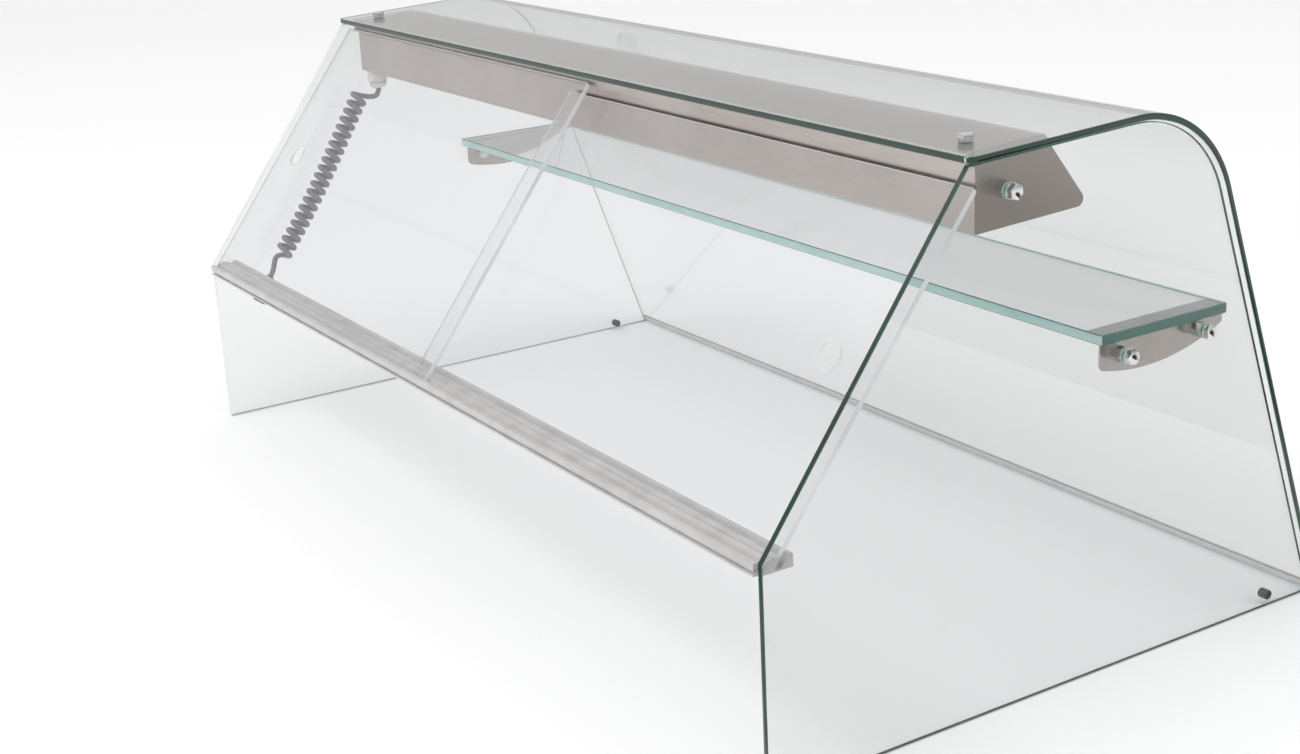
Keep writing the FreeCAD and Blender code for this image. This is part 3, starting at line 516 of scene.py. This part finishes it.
def bent_glass():
    """Sweep, round, thicken and grind the bent sheet."""
    line = bpy.data.meshes.new("bent_line")
    points = [(0, rear_top.y, rear_top.z), apex, (0, front_low.y, front_low.z)]
    line.from_pydata(points, [(0, 1), (1, 2)], [])
    mesh = grown("bent_sheet", line, bent_sheet_tree(), {
        "Bend Radius": BEND_RADIUS, "Length": glass_high.x - glass_low.x,
        "Bend Steps": BEND_STEPS, "Material": float_glass})
    bm = bmesh.new()
    bm.from_mesh(mesh)
    bmesh.ops.remove_doubles(bm, verts=bm.verts, dist=0.01 * MM)
    for face in bm.faces:
        face.normal_update()
    if sum(face.normal.z for face in bm.faces) < 0:
        bmesh.ops.reverse_faces(bm, faces=bm.faces)
    rear = [v for v in bm.verts if v.co.y < glass_low.y + 0.1 * MM]
    bmesh.ops.bevel(bm, geom=rear, offset=CORNER_RADIUS, segments=CORNER_STEPS, profile=0.5,
                    affect="VERTICES")
    bmesh.ops.solidify(bm, geom=bm.faces, thickness=GLASS_THICK)
    bmesh.ops.recalc_face_normals(bm, faces=bm.faces)
    for face in bm.faces:
        face.material_index = 0 if is_sheet(face) else 1
    grind_arris(bm, ARRIS_MM, 2)
    for face in bm.faces:
        if face.material_index and is_glint(face):
            face.material_index = 3
    piece = show("pane_bent_glass", to_mesh(bm, "bent_glass"), "bent_glass",
                 [float_glass, green_edge, green_arris, corner_glint])
    weigh_normals(piece)
    print(piece.name, [round(v, 4) for v in piece.dimensions],
          "CAD", [round(v, 4) for v in glass_high - glass_low])
    return piece


def is_sheet(face):
    """True for the inner and outer faces, and false for the four edges of the bent sheet."""
    if abs(face.normal.x) > 0.02:
        return False
    along = Vector((0, math.cos(TOP_TILT), math.sin(TOP_TILT)))
    down = Vector((0, math.cos(FRONT_TILT), -math.sin(FRONT_TILT)))
    centre = face.calc_center_median()
    rear_edge = abs(face.normal.dot(along)) > 0.97 and centre.y < glass_low.y + GLASS_THICK
    low_edge = abs(face.normal.dot(down)) > 0.97 and centre.z < glass_low.z + GLASS_THICK
    return not (rear_edge or low_edge)


def is_glint(face):
    """True for the first and last facets of a rounded corner, which face the room's lights."""
    centre = face.calc_center_median()
    near_rear = centre.y < glass_low.y + CORNER_RADIUS
    near_side = abs(centre.x) > glass_high.x - CORNER_RADIUS
    turn = abs(face.normal.x)
    return near_rear and near_side and not 0.35 < turn < 0.94 and 0.1 < turn < 0.99


bent_glass()

# %% [markdown]
# The door track, the canopy and the brackets are extruded or folded pieces. They keep the CAD
# shape, with the small radii that a die or a press brake leaves. The one large face of a bracket's
# flange that looks up, under the shelf, has a second, pale grey material: painted light, so that
# the flange's top reads light through the shelf glass.

# %% Track and sheet metal
EXTRUDED_MM, FOLDED_MM = 0.35, 0.3
FLANGE_TOP_AREA = 100 * MM * MM


def bracket(node):
    """A folded bracket whose flange top has a pale grey material, painted light under the shelf
    glass.
    """
    bm = welded(node)
    bevel_sharp(bm, EXTRUDED_MM * MM, 2)
    for face in bm.faces:
        # painted light: the flange's large upward face is made pale grey so it reads light under
        # the glass
        painted_light_top = face.normal.z > 0.9 and face.calc_area() > FLANGE_TOP_AREA
        face.material_index = 1 if painted_light_top else 0
    piece = show(f"folded_{node}", to_mesh(bm, node), node, [bracket_steel, flange_top_painted_light])
    weigh_normals(piece)
    return piece


softened("door_track", track_plastic, EXTRUDED_MM)
softened("canopy_shell", canopy_steel, FOLDED_MM)
softened("front_seal", clear_silicone, FOLDED_MM)
for side in ("left", "right"):
    softened(f"{side}_canopy_end", end_steel_painted_shade, FOLDED_MM)
    bracket(f"{side}_shelf_bracket")
print("sheet metal finished")

# %% [markdown]
# Hexagon heads, collars and nuts repeat all over the guard, so one Geometry Nodes tree makes them.
# A six-sided prism is cut by a steep cone from each end, which leaves the curved chamfers that a
# turned hexagon has. A plain end is one whose cone is wider than the corners. A second tree makes
# the thread: a fine cylinder whose radius steps in and out with height and angle, which is a helix.

# %% Hexagon and thread trees
def hexagon_tree():
    """A hexagon up Z from the origin, with a chamfer at either end and an optional bore."""
    tree, given, result = geometry_tree("chamfered_hexagon", [
        ("Across Flats", "Float", 0.013), ("Height", "Float", 0.006), ("Top Rim", "Float", 0.95),
        ("Foot Rim", "Float", 1.3), ("Bore Radius", "Float", 0.0), ("Material", "Material", None)])
    flats, height = given.outputs["Across Flats"], given.outputs["Height"]
    half = maths(tree, "MULTIPLY", height, 0.5)
    middle = add_node(tree, "ShaderNodeCombineXYZ", {"Z": half}).outputs[0]
    top = add_node(tree, "ShaderNodeCombineXYZ", {"Z": height}).outputs[0]
    corner = maths(tree, "MULTIPLY", flats, 1 / math.sqrt(3))
    prism = add_node(tree, "GeometryNodeMeshCylinder",
                     {"Vertices": 6, "Radius": corner, "Depth": height})
    placed = add_node(tree, "GeometryNodeTransform",
                      {"Geometry": prism.outputs[0], "Translation": middle})
    shape = add_node(tree, "GeometryNodeMeshBoolean", {"Mesh 2": placed.outputs[0]},
                     operation="INTERSECT", solver="EXACT")
    slope = maths(tree, "MULTIPLY", height, math.sqrt(3))
    for label, turn, shift in (("Top Rim", 0.0, (0, 0, 0)), ("Foot Rim", math.pi, top)):
        small = maths(tree, "MULTIPLY", maths(tree, "MULTIPLY", flats, given.outputs[label]), 0.5)
        large = maths(tree, "ADD", small, slope)
        cone = add_node(tree, "GeometryNodeMeshCone", {
            "Vertices": 60, "Radius Top": small, "Radius Bottom": large, "Depth": height})
        way = add_node(tree, "GeometryNodeTransform", {
            "Geometry": cone.outputs[0], "Rotation": (turn, 0, 0), "Translation": shift})
        tree.links.new(way.outputs[0], shape.inputs["Mesh 2"])
    drill = add_node(tree, "GeometryNodeMeshCylinder", {
        "Vertices": 40, "Radius": given.outputs["Bore Radius"], "Depth": slope})
    bored = add_node(tree, "GeometryNodeMeshBoolean",
                     {"Mesh 1": shape.outputs[0], "Mesh 2": drill.outputs[0]},
                     operation="DIFFERENCE", solver="EXACT")
    has_bore = add_node(tree, "FunctionNodeCompare",
                        {0: given.outputs["Bore Radius"], 1: 0.1 * MM}, operation="GREATER_THAN")
    chosen = add_node(tree, "GeometryNodeSwitch", {
        "Switch": has_bore.outputs[0], "False": shape.outputs[0], "True": bored.outputs[0]},
        input_type="GEOMETRY")
    finish_tree(tree, given, result, chosen.outputs[0])
    return tree


def thread_tree():
    """A threaded shank down Z from the origin."""
    tree, given, result = geometry_tree("threaded_shank", [
        ("Radius", "Float", 0.004), ("Length", "Float", 0.03), ("Pitch", "Float", 0.00125),
        ("Depth", "Float", 0.0006), ("Steps Per Pitch", "Float", 6.0),
        ("Material", "Material", None)])
    radius, length, pitch = (given.outputs[label] for label in ("Radius", "Length", "Pitch"))
    turns = maths(tree, "DIVIDE", length, pitch)
    rings = maths(tree, "MULTIPLY", turns, given.outputs["Steps Per Pitch"])
    rod = add_node(tree, "GeometryNodeMeshCylinder",
                   {"Vertices": 28, "Side Segments": rings, "Radius": radius, "Depth": length})
    half = maths(tree, "MULTIPLY", length, -0.5)
    down = add_node(tree, "ShaderNodeCombineXYZ", {"Z": half}).outputs[0]
    hung = add_node(tree, "GeometryNodeTransform",
                    {"Geometry": rod.outputs[0], "Translation": down})
    place = add_node(tree, "GeometryNodeInputPosition").outputs[0]
    part = add_node(tree, "ShaderNodeSeparateXYZ", {0: place})
    angle = maths(tree, "ARCTAN2", part.outputs["Y"], part.outputs["X"])
    share = maths(tree, "DIVIDE", angle, math.tau)
    climb = maths(tree, "DIVIDE", part.outputs["Z"], pitch)
    wave = maths(tree, "PINGPONG", maths(tree, "SUBTRACT", climb, share), 0.5)
    bite = maths(tree, "MULTIPLY", wave, given.outputs["Depth"])
    kept = maths(tree, "MULTIPLY_ADD", maths(tree, "DIVIDE", bite, radius), -2.0, 1.0)
    squeeze = add_node(tree, "ShaderNodeCombineXYZ", {"X": kept, "Y": kept, "Z": 1.0}).outputs[0]
    moved = add_node(tree, "ShaderNodeVectorMath", {0: place, 1: squeeze}, operation="MULTIPLY")
    cut = add_node(tree, "GeometryNodeSetPosition",
                   {"Geometry": hung.outputs[0], "Position": moved.outputs[0]})
    finish_tree(tree, given, result, cut.outputs[0])
    return tree


hexagon, thread = hexagon_tree(), thread_tree()
print("trees:", hexagon.name, thread.name)

# %% [markdown]
# Each fixing is made up its own Z axis and then carried to its seat. The seat is read from the CAD
# node: its points are turned into the axis's own frame, where their box gives the centre line and
# both ends. Real hexagons never stop at the same angle, so each one gets a turn of its own.
# A hexagon's faces are shaded flat by a low sharp angle, because a mirror shows every soft edge.

# %% Fixings
HEX_FLATS, HEAD_HIGH, SHANK_RADIUS = 13 * MM, 6 * MM, 4 * MM
NUT_RIM, PLAIN_RIM = 0.95, 1.3
FACET_ANGLE = 35.0
TOP_LEAN = Matrix.Rotation(TOP_TILT, 4, "X")
OUTWARD = {"left": Matrix.Rotation(math.radians(-90), 4, "Y"),
           "right": Matrix.Rotation(math.radians(90), 4, "Y")}


def seat(node, axis):
    """Where a node starts on its own axis, as a matrix, and how long it is."""
    points = [axis.inverted() @ v.co for v in frame["nodes"][node].data.vertices]
    spans = [(min(p[i] for p in points), max(p[i] for p in points)) for i in range(3)]
    start = Vector(((spans[0][0] + spans[0][1]) / 2, (spans[1][0] + spans[1][1]) / 2, spans[2][0]))
    return axis @ Matrix.Translation(start), spans[2][1] - spans[2][0]


def hex_part(height, turn, bore=0.0, foot=NUT_RIM, flats=HEX_FLATS, lift=0.0):
    """One hexagon as a mesh, turned and lifted on its own axis."""
    mesh = grown("hexagon", bpy.data.meshes.new("seed"), hexagon, {
        "Across Flats": flats, "Height": height, "Top Rim": NUT_RIM, "Foot Rim": foot,
        "Bore Radius": bore, "Material": bright_steel})
    spin = Matrix.Rotation(math.radians(turn), 4, "Z")
    mesh.transform(Matrix.Translation((0, 0, lift)) @ spin)
    return mesh


def place_fixing(node, matrix, parts, material):
    """Join part meshes, keep their facets flat and put them in a node's place."""
    bm = bmesh.new()
    for part in parts:
        part.transform(matrix)
        bm.from_mesh(part)
    for face in bm.faces:
        face.material_index = 0
    bmesh.ops.remove_doubles(bm, verts=bm.verts, dist=0.002 * MM)
    return show(f"fixing_{node}", to_mesh(bm, node, FACET_ANGLE), node, [material])


def bolt(node, axis, turn):
    """A hexagon head on a threaded shank."""
    matrix, long = seat(node, axis)
    shank = grown("shank", bpy.data.meshes.new("seed"), thread, {
        "Radius": SHANK_RADIUS, "Length": long - HEAD_HIGH, "Material": bright_steel})
    shank.transform(Matrix.Translation((0, 0, long - HEAD_HIGH)))
    head = hex_part(HEAD_HIGH, turn, foot=PLAIN_RIM, lift=long - HEAD_HIGH)
    return place_fixing(node, matrix, [shank, head], bright_steel)


def bored_hexagon(node, axis, turn, material=bright_steel, flats=HEX_FLATS, bore=SHANK_RADIUS):
    """A collar or a nut: a hexagon with a hole through it."""
    matrix, long = seat(node, axis)
    return place_fixing(node, matrix, [hex_part(long, turn, bore, flats=flats)], material)


TURNS = {"canopy": 11.0, "shelf_rear": 24.0, "shelf_front": 5.0}
COLLAR_TURN, NUT_TURN = 17, 38
CAP_BOLT_TURN, CAP_NUT_TURN = 8.0, 20.0
WASHER_EDGE_MM = 0.2
for side in ("left", "right"):
    for name, turn in TURNS.items():
        bolt(f"{side}_{name}_bolt", OUTWARD[side], turn)
        bored_hexagon(f"{side}_{name}_collar", OUTWARD[side], turn + COLLAR_TURN)
        bored_hexagon(f"{side}_{name}_nut", OUTWARD[side], turn + NUT_TURN)
        softened(f"{side}_{name}_washers", washer_nylon, WASHER_EDGE_MM)
    bolt(f"cap_{side}_bolt", TOP_LEAN, CAP_BOLT_TURN)
    bored_hexagon(f"cap_{side}_nut", TOP_LEAN, CAP_NUT_TURN)
    softened(f"cap_{side}_washers", bright_steel, WASHER_EDGE_MM)

# %% [markdown]
# Round mouldings are turned shapes: a short profile of radius against height, spun round an axis.
# The gland's dome nut has grip ribs, which a ripple in the radius gives. Its body is a threaded
# neck, a flange that seats on the canopy and a hexagon for the spanner, joined as one piece.

# %% Turned pieces
def turned(profile, axis_matrix, steps=48, ribs=0, depth=0.0, metal_rows=()):
    """Spin (height, radius, ribbed) rows round Z; metal_rows are given the second material."""
    bm = bmesh.new()
    rings = []
    for height, radius, ribbed in profile:
        ring = []
        for step in range(steps):
            angle = math.tau * step / steps
            groove = depth * ribbed * (0.5 - 0.5 * math.cos(ribs * angle)) ** 3
            reach = radius - groove
            point = Vector((reach * math.cos(angle), reach * math.sin(angle), height))
            ring.append(bm.verts.new(axis_matrix @ point))
        rings.append(ring)
    for row, (first, second) in enumerate(zip(rings, rings[1:])):
        for step in range(steps):
            after = (step + 1) % steps
            face = bm.faces.new((first[step], first[after], second[after], second[step]))
            face.material_index = 1 if row in metal_rows else 0
    bmesh.ops.remove_doubles(bm, verts=bm.verts, dist=0.001 * MM)
    bmesh.ops.recalc_face_normals(bm, faces=bm.faces)
    return bm


def rows(*points):
    """Profile rows from millimetres: (height, radius) or (height, radius, ribbed)."""
    return [(p[0] * MM, p[1] * MM, p[2] if len(p) > 2 else 0) for p in points]


BORE_MM, STUB_MM, BLOCK_MM = 3.8, 8.0, 12.6
DOME_STEPS, DOME_RIBS, RIB_DEEP = 96, 12, 1.0 * MM
BLOCK_FLATS, LOCKNUT_FLATS = 23 * MM, 22 * MM

dome_seat, dome_long = seat("gland_dome", TOP_LEAN)
dome_mm = dome_long / MM
dome_rows = rows((dome_mm, BORE_MM), (dome_mm, 9.4), (dome_mm - 0.9, 9.4),
                 (dome_mm - 1.1, 11.8, 1), (4.0, 11.2, 1), (2.2, 10.3, 0.6), (0.9, 8.6), (0.2, 6.8),
                 (0, 5.6), (0, 4.6), (0.8, 4.0), (dome_mm, BORE_MM))
dome = turned(dome_rows, dome_seat, DOME_STEPS, DOME_RIBS, RIB_DEEP)
show("moulded_gland_dome", to_mesh(dome, "gland_dome"), "gland_dome", [gland_nylon])

body_seat, body_long = seat("gland_body", TOP_LEAN)
body_mm = body_long / MM
neck_rows = rows((0, BORE_MM), (0, STUB_MM), (body_mm, STUB_MM), (body_mm, BORE_MM), (0, BORE_MM))
flange_rows = rows((BLOCK_MM, STUB_MM), (BLOCK_MM, 12.6), (13.0, 13.0), (14.6, 13.0), (15.0, 12.6),
                   (15.0, STUB_MM), (BLOCK_MM, STUB_MM))
neck = to_mesh(turned(neck_rows, Matrix.Identity(4)), "gland_neck")
flange = to_mesh(turned(flange_rows, Matrix.Identity(4)), "gland_flange")
block = hex_part(BLOCK_MM * MM, 12.0, SHANK_RADIUS, flats=BLOCK_FLATS)
place_fixing("gland_body", body_seat, [neck, flange, block], gland_nylon)
bored_hexagon("gland_locknut", TOP_LEAN, 14.0, gland_nylon, LOCKNUT_FLATS, STUB_MM * MM)
print("gland finished, dome", round(dome_mm, 1), "mm and body", round(body_mm, 1), "mm high")

# %% [markdown]
# The lamp sits inside the canopy and shows only through its diffuser. The tube is opal glass with a
# metal cap at each end, so its profile is one end's steps and the same steps again from the other
# end. The driver, the holders and the rubber stops are mouldings: CAD shapes with soft edges.

# %% Lamp and small rubber parts
TUBE_STEPS, METAL_ROWS = 40, (0, 1, 2, 3, 6, 7, 8)

tube_seat, tube_long = seat("lamp_tube", OUTWARD["right"])
tube_low, tube_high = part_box("lamp_tube")
tube_mm, wide_mm = tube_long / MM, (tube_high.z - tube_low.z) / 2 / MM
end_steps = [(0, 0.01), (0, wide_mm - 0.8), (0.8, wide_mm), (10.0, wide_mm), (10.6, wide_mm - 0.3)]
far_steps = [(tube_mm - height, radius) for height, radius in reversed(end_steps)]
tube = turned(rows(*end_steps, *far_steps), tube_seat, TUBE_STEPS, metal_rows=METAL_ROWS)
show("lamp_tube_glass", to_mesh(tube, "lamp_tube"), "lamp_tube", [opal_tube, bright_steel])
softened("lamp_driver", white_enamel, 0.8)
softened("lamp_diffuser", opal_sheet, 0.3)
for side in ("left", "right"):
    softened(f"lamp_holder_{side}", lamp_moulding, 0.8)
    softened(f"{side}_glass_stop", black_rubber, 0.6)
print("lamp tube", round(tube_mm, 1), "mm long and", round(2 * wide_mm, 1), "mm wide")

# %% [markdown]
# The cord hangs from the gland to the counter. It leaves the gland in a short hook, and the rest
# is a coil that gravity and its own spring pull into a slack slope. The slope is a NURBS curve
# through given points. The helix follows points read from that curve, sixteen to a turn.
# It starts at the angle where a ring already runs the way the lead arrives, so there is no kink,
# and it lets go of the last ring a little above the plug, so the cord enters the plug straight.

# %% Cord routes
GLAND_X = -600 * MM
REAR_DATUM, DECK_DROP = -341.9, 215.0
LEAD_ROUTE = [(253.6, 208.5), (252.0, 200.0), (244.0, 196.4), (230.0, 200.5)]
COIL_ROUTE = [(227.0, 205.0), (200.5, 164.0), (168.0, 111.0), (132.5, 57.5), (96.0, 10.0),
              (70.0, -24.0)]
CORD_RADIUS, COIL_RADIUS = 3.5 * MM, 13 * MM
COIL_TURNS, STEPS_PER_TURN = 20, 16
FIRST_ANGLE, TAIL_LONG = math.radians(150), 34 * MM
LEAVE_ON, LEAVE_DOWN = 8 * MM, 4 * MM
SWING_DOWN, SWING_SIDE = 10 * MM, 5 * MM


def route_point(point):
    """A route point in the plane of the gland, from its two millimetre figures."""
    return Vector((GLAND_X, (point[0] + REAR_DATUM) * MM, (point[1] + DECK_DROP) * MM))


def nurbs(name, points, bevel=0.0):
    """A curve of one NURBS spline over given control points."""
    curve = bpy.data.curves.new(name, "CURVE")
    curve.dimensions = "3D"
    spline = curve.splines.new("NURBS")
    spline.points.add(len(points) - 1)
    for slot, point in zip(spline.points, points):
        slot.co = (*point, 1)
    spline.order_u, spline.resolution_u = 3, 8
    spline.use_endpoint_u = True
    curve.bevel_depth, curve.bevel_resolution = bevel, 5
    curve.use_fill_caps = True
    piece = bpy.data.objects.new(name, curve)
    bpy.context.scene.collection.objects.link(piece)
    return piece


def sampled(piece):
    """The points of a curve with no bevel, in order."""
    mesh = bpy.data.meshes.new_from_object(piece)
    points = [v.co.copy() for v in mesh.vertices]
    bpy.data.objects.remove(piece)
    return points


def line_length(points):
    """The length of a line of points."""
    return sum((second - first).length for first, second in zip(points, points[1:]))


def at_distance(points, distance):
    """A point and a direction at a distance along a line of points."""
    for first, second in zip(points, points[1:]):
        step = (second - first).length
        if distance <= step:
            return first.lerp(second, distance / step), (second - first).normalized()
        distance -= step
    return points[-1], (points[-1] - points[-2]).normalized()


def helix_points(axis):
    """Points of the coil round a line; the cord leaves the last ring and runs on down the line."""
    length = line_length(axis)
    ring = COIL_RADIUS - CORD_RADIUS
    points = []
    for step in range(COIL_TURNS * STEPS_PER_TURN + 1):
        share = step / (COIL_TURNS * STEPS_PER_TURN)
        angle = FIRST_ANGLE + math.tau * COIL_TURNS * share
        centre, ahead = at_distance(axis, CORD_RADIUS + (length - CORD_RADIUS - TAIL_LONG) * share)
        inward = SIDEWAYS.cross(ahead)
        points.append(centre + (SIDEWAYS * math.cos(angle) + inward * math.sin(angle)) * ring)
    leaving = (points[-1] - points[-2]).normalized()
    points.append(points[-1] + leaving * LEAVE_ON + ahead * LEAVE_DOWN)
    points.append(points[-1] + ahead * SWING_DOWN + SIDEWAYS * SWING_SIDE)
    points.append(at_distance(axis, length - TAIL_LONG / 5)[0])
    points.append(axis[-1])
    return points


print("cord leaves the gland at", [round(v, 4) for v in route_point(LEAD_ROUTE[0])])

# %% [markdown]
# The cord is one NURBS curve, lead and coil together, so no seam shows where one becomes the other.
# A bevel gives it thickness. The plug is turned: a tapered strain relief, then a body with four
# grip grooves. It is made up Z from where the cord enters it and carried to the cord's end.

# %% Cord and plug
GRIP_MM, GROOVE_MM, PLUG_MM = 9.0, 8.1, 38.0
lead = [route_point(p) for p in LEAD_ROUTE]
axis = sampled(nurbs("coil_axis", [route_point(p) for p in COIL_ROUTE]))
cord_points = lead[:-1] + helix_points(axis)
cord = nurbs("curly_cord", cord_points, CORD_RADIUS)
cord.data.materials.append(cord_sheath)
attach(cord, "guard")
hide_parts("cord_lead", "cord_coil")

down = (axis[-1] - axis[-2]).normalized()
plug_matrix = Matrix.Translation(axis[-1]) @ down.to_track_quat("Z", "Y").to_matrix().to_4x4()
grooves = []
for start in (14, 19, 24, 29):
    grooves += [(start, GRIP_MM), (start + 0.6, GROOVE_MM), (start + 2, GROOVE_MM),
                (start + 2.6, GRIP_MM)]
plug_rows = rows((0, 0.01), (0, 4.2), (0.8, 5.0), (9.2, 8.6), (10.6, GRIP_MM), *grooves,
                 (PLUG_MM - 1.2, GRIP_MM), (PLUG_MM, 7.8), (PLUG_MM, 0.01))
plug_mesh = turned(plug_rows, plug_matrix)
plug = show("moulded_cord_plug", to_mesh(plug_mesh, "cord_plug"), "cord_plug", [plug_plastic])

# %% [markdown]
# Clear glass shows what is round it, so the studio is almost empty: a pale world that is darker
# towards the horizon, a paper floor, and two large soft lights. The world has two looks. What the
# camera sees behind the guard is plain white, and what the glass and steel mirror is the slope from
# grey to white, which gives them an edge. The lights are hidden from mirrors for the same reason.

# %% Studio
AIM_POINT = (0, 0, 0.3)
FLOOR_HALF, FLOOR_DROP = 40.0, 0.5 * MM
HORIZON_GREY, ZENITH_GREY, ZENITH_AT = 0.55, 1.0, 0.7


def area_light(name, place, size, watts):
    """A soft rectangular light that points at the guard and never shows in a mirror."""
    data = bpy.data.lights.new(name, "AREA")
    data.shape = "RECTANGLE"
    data.size, data.size_y = size
    data.energy = watts
    lamp = bpy.data.objects.new(name, data)
    lamp.location = place
    aim = Vector(AIM_POINT) - Vector(place)
    lamp.rotation_euler = aim.to_track_quat("-Z", "Y").to_euler()
    lamp.visible_camera = lamp.visible_transmission = lamp.visible_glossy = False
    bpy.context.scene.collection.objects.link(lamp)
    return lamp


area_light("key", place=(-0.5, -2.5, 3.2), size=(2.5, 1.5), watts=38)
area_light("side", place=(3.2, 2.2, 2.2), size=(1.2, 2.0), watts=24)

world = bpy.data.worlds.new("studio")
bpy.context.scene.world = world
world.use_nodes = True
sky = world.node_tree
backdrop = sky.nodes["Background"]
direction = add_node(sky, "ShaderNodeTexCoord")
height = add_node(sky, "ShaderNodeSeparateXYZ", {"Vector": direction.outputs["Generated"]})
glow = add_node(sky, "ShaderNodeValToRGB", {"Fac": height.outputs["Z"]})
horizon, zenith = glow.color_ramp.elements
horizon.position, horizon.color = 0.0, (HORIZON_GREY, HORIZON_GREY, HORIZON_GREY, 1)
zenith.position, zenith.color = ZENITH_AT, (ZENITH_GREY, ZENITH_GREY, ZENITH_GREY, 1)
path = add_node(sky, "ShaderNodeLightPath")
seen = add_node(sky, "ShaderNodeMixShader", {0: path.outputs["Is Camera Ray"]})
white = add_node(sky, "ShaderNodeBackground", {"Color": (1, 1, 1, 1), "Strength": 1.0})
sky.links.new(glow.outputs[0], backdrop.inputs["Color"])
backdrop.inputs["Strength"].default_value = 1.0
sky.links.new(backdrop.outputs[0], seen.inputs[1])
sky.links.new(white.outputs[0], seen.inputs[2])
sky.links.new(seen.outputs[0], sky.nodes["World Output"].inputs["Surface"])
bpy.context.scene.view_settings.view_transform = "Standard"

floor_mesh = bpy.data.meshes.new("floor")
floor_corners = [(x * FLOOR_HALF, y * FLOOR_HALF, 0)
                 for x, y in ((-1, -1), (1, -1), (1, 1), (-1, 1))]
floor_mesh.from_pydata(floor_corners, [], [(0, 1, 2, 3)])
floor = bpy.data.objects.new("floor", floor_mesh)
floor.location.z = -FLOOR_DROP
bpy.context.scene.collection.objects.link(floor)
floor_mesh.materials.append(new_material("paper", Base_Color=linear("#fbfbfb"), Roughness=0.9)[0])
print("studio:", len(bpy.data.lights), "lights, floor", 2 * FLOOR_HALF, "m wide")

# %% [markdown]
# Chrome in a white room looks like plastic. A photographer stands a dark card beside the lens, out
# of view, for the metal to mirror. This one is seen only by glossy rays, and its border fades out,
# because a hard edge would draw a line across every flat of a bolt head.

# %% Dark flag
FLAG_CENTRE, FLAG_REACH = Vector((1.33, 0.62, 0.05)), Vector((0.55, 1.0, 0.26))
WEAVE_MM, FULL_AT = 20.0, 0.45


def flag():
    """A dark card with a soft border, which only mirrors see."""
    left, right = FLAG_CENTRE.x - FLAG_REACH.x, FLAG_CENTRE.x + FLAG_REACH.x
    y, top = FLAG_CENTRE.y, FLAG_CENTRE.z + FLAG_REACH.z
    mesh = bpy.data.meshes.new("flag")
    mesh.from_pydata([(left, y, 0), (right, y, 0), (right, y, top), (left, y, top)], [],
                     [(0, 1, 2, 3)])
    card = bpy.data.objects.new("flag", mesh)
    bpy.context.scene.collection.objects.link(card)
    card.visible_camera = card.visible_diffuse = False
    card.visible_shadow = card.visible_transmission = False
    cloth, tree, shader = new_material("flag_cloth", Roughness=0.9)
    weave = surface_noise(tree, WEAVE_MM)
    tree.links.new(shade_between(tree, weave, "#2a231e", "#3c332c"), shader.inputs["Base Color"])
    place = add_node(tree, "ShaderNodeTexCoord")
    shift = [-c / r for c, r in zip(FLAG_CENTRE, FLAG_REACH)]
    fitted = add_node(tree, "ShaderNodeMapping", {
        "Vector": place.outputs["Object"], "Location": shift, "Scale": [1 / r for r in FLAG_REACH]})
    fade = add_node(tree, "ShaderNodeTexGradient", {"Vector": fitted.outputs[0]},
                    gradient_type="SPHERICAL")
    weight = add_node(tree, "ShaderNodeMapRange",
                      {"Value": fade.outputs["Fac"], "From Max": FULL_AT},
                      interpolation_type="SMOOTHSTEP")
    clear = add_node(tree, "ShaderNodeBsdfTransparent")
    mix = add_node(tree, "ShaderNodeMixShader",
                   {0: weight.outputs[0], 1: clear.outputs[0], 2: shader.outputs[0]})
    tree.links.new(mix.outputs[0], tree.nodes["Material Output"].inputs["Surface"])
    mesh.materials.append(cloth)
    return card


print("dark card:", flag().name)
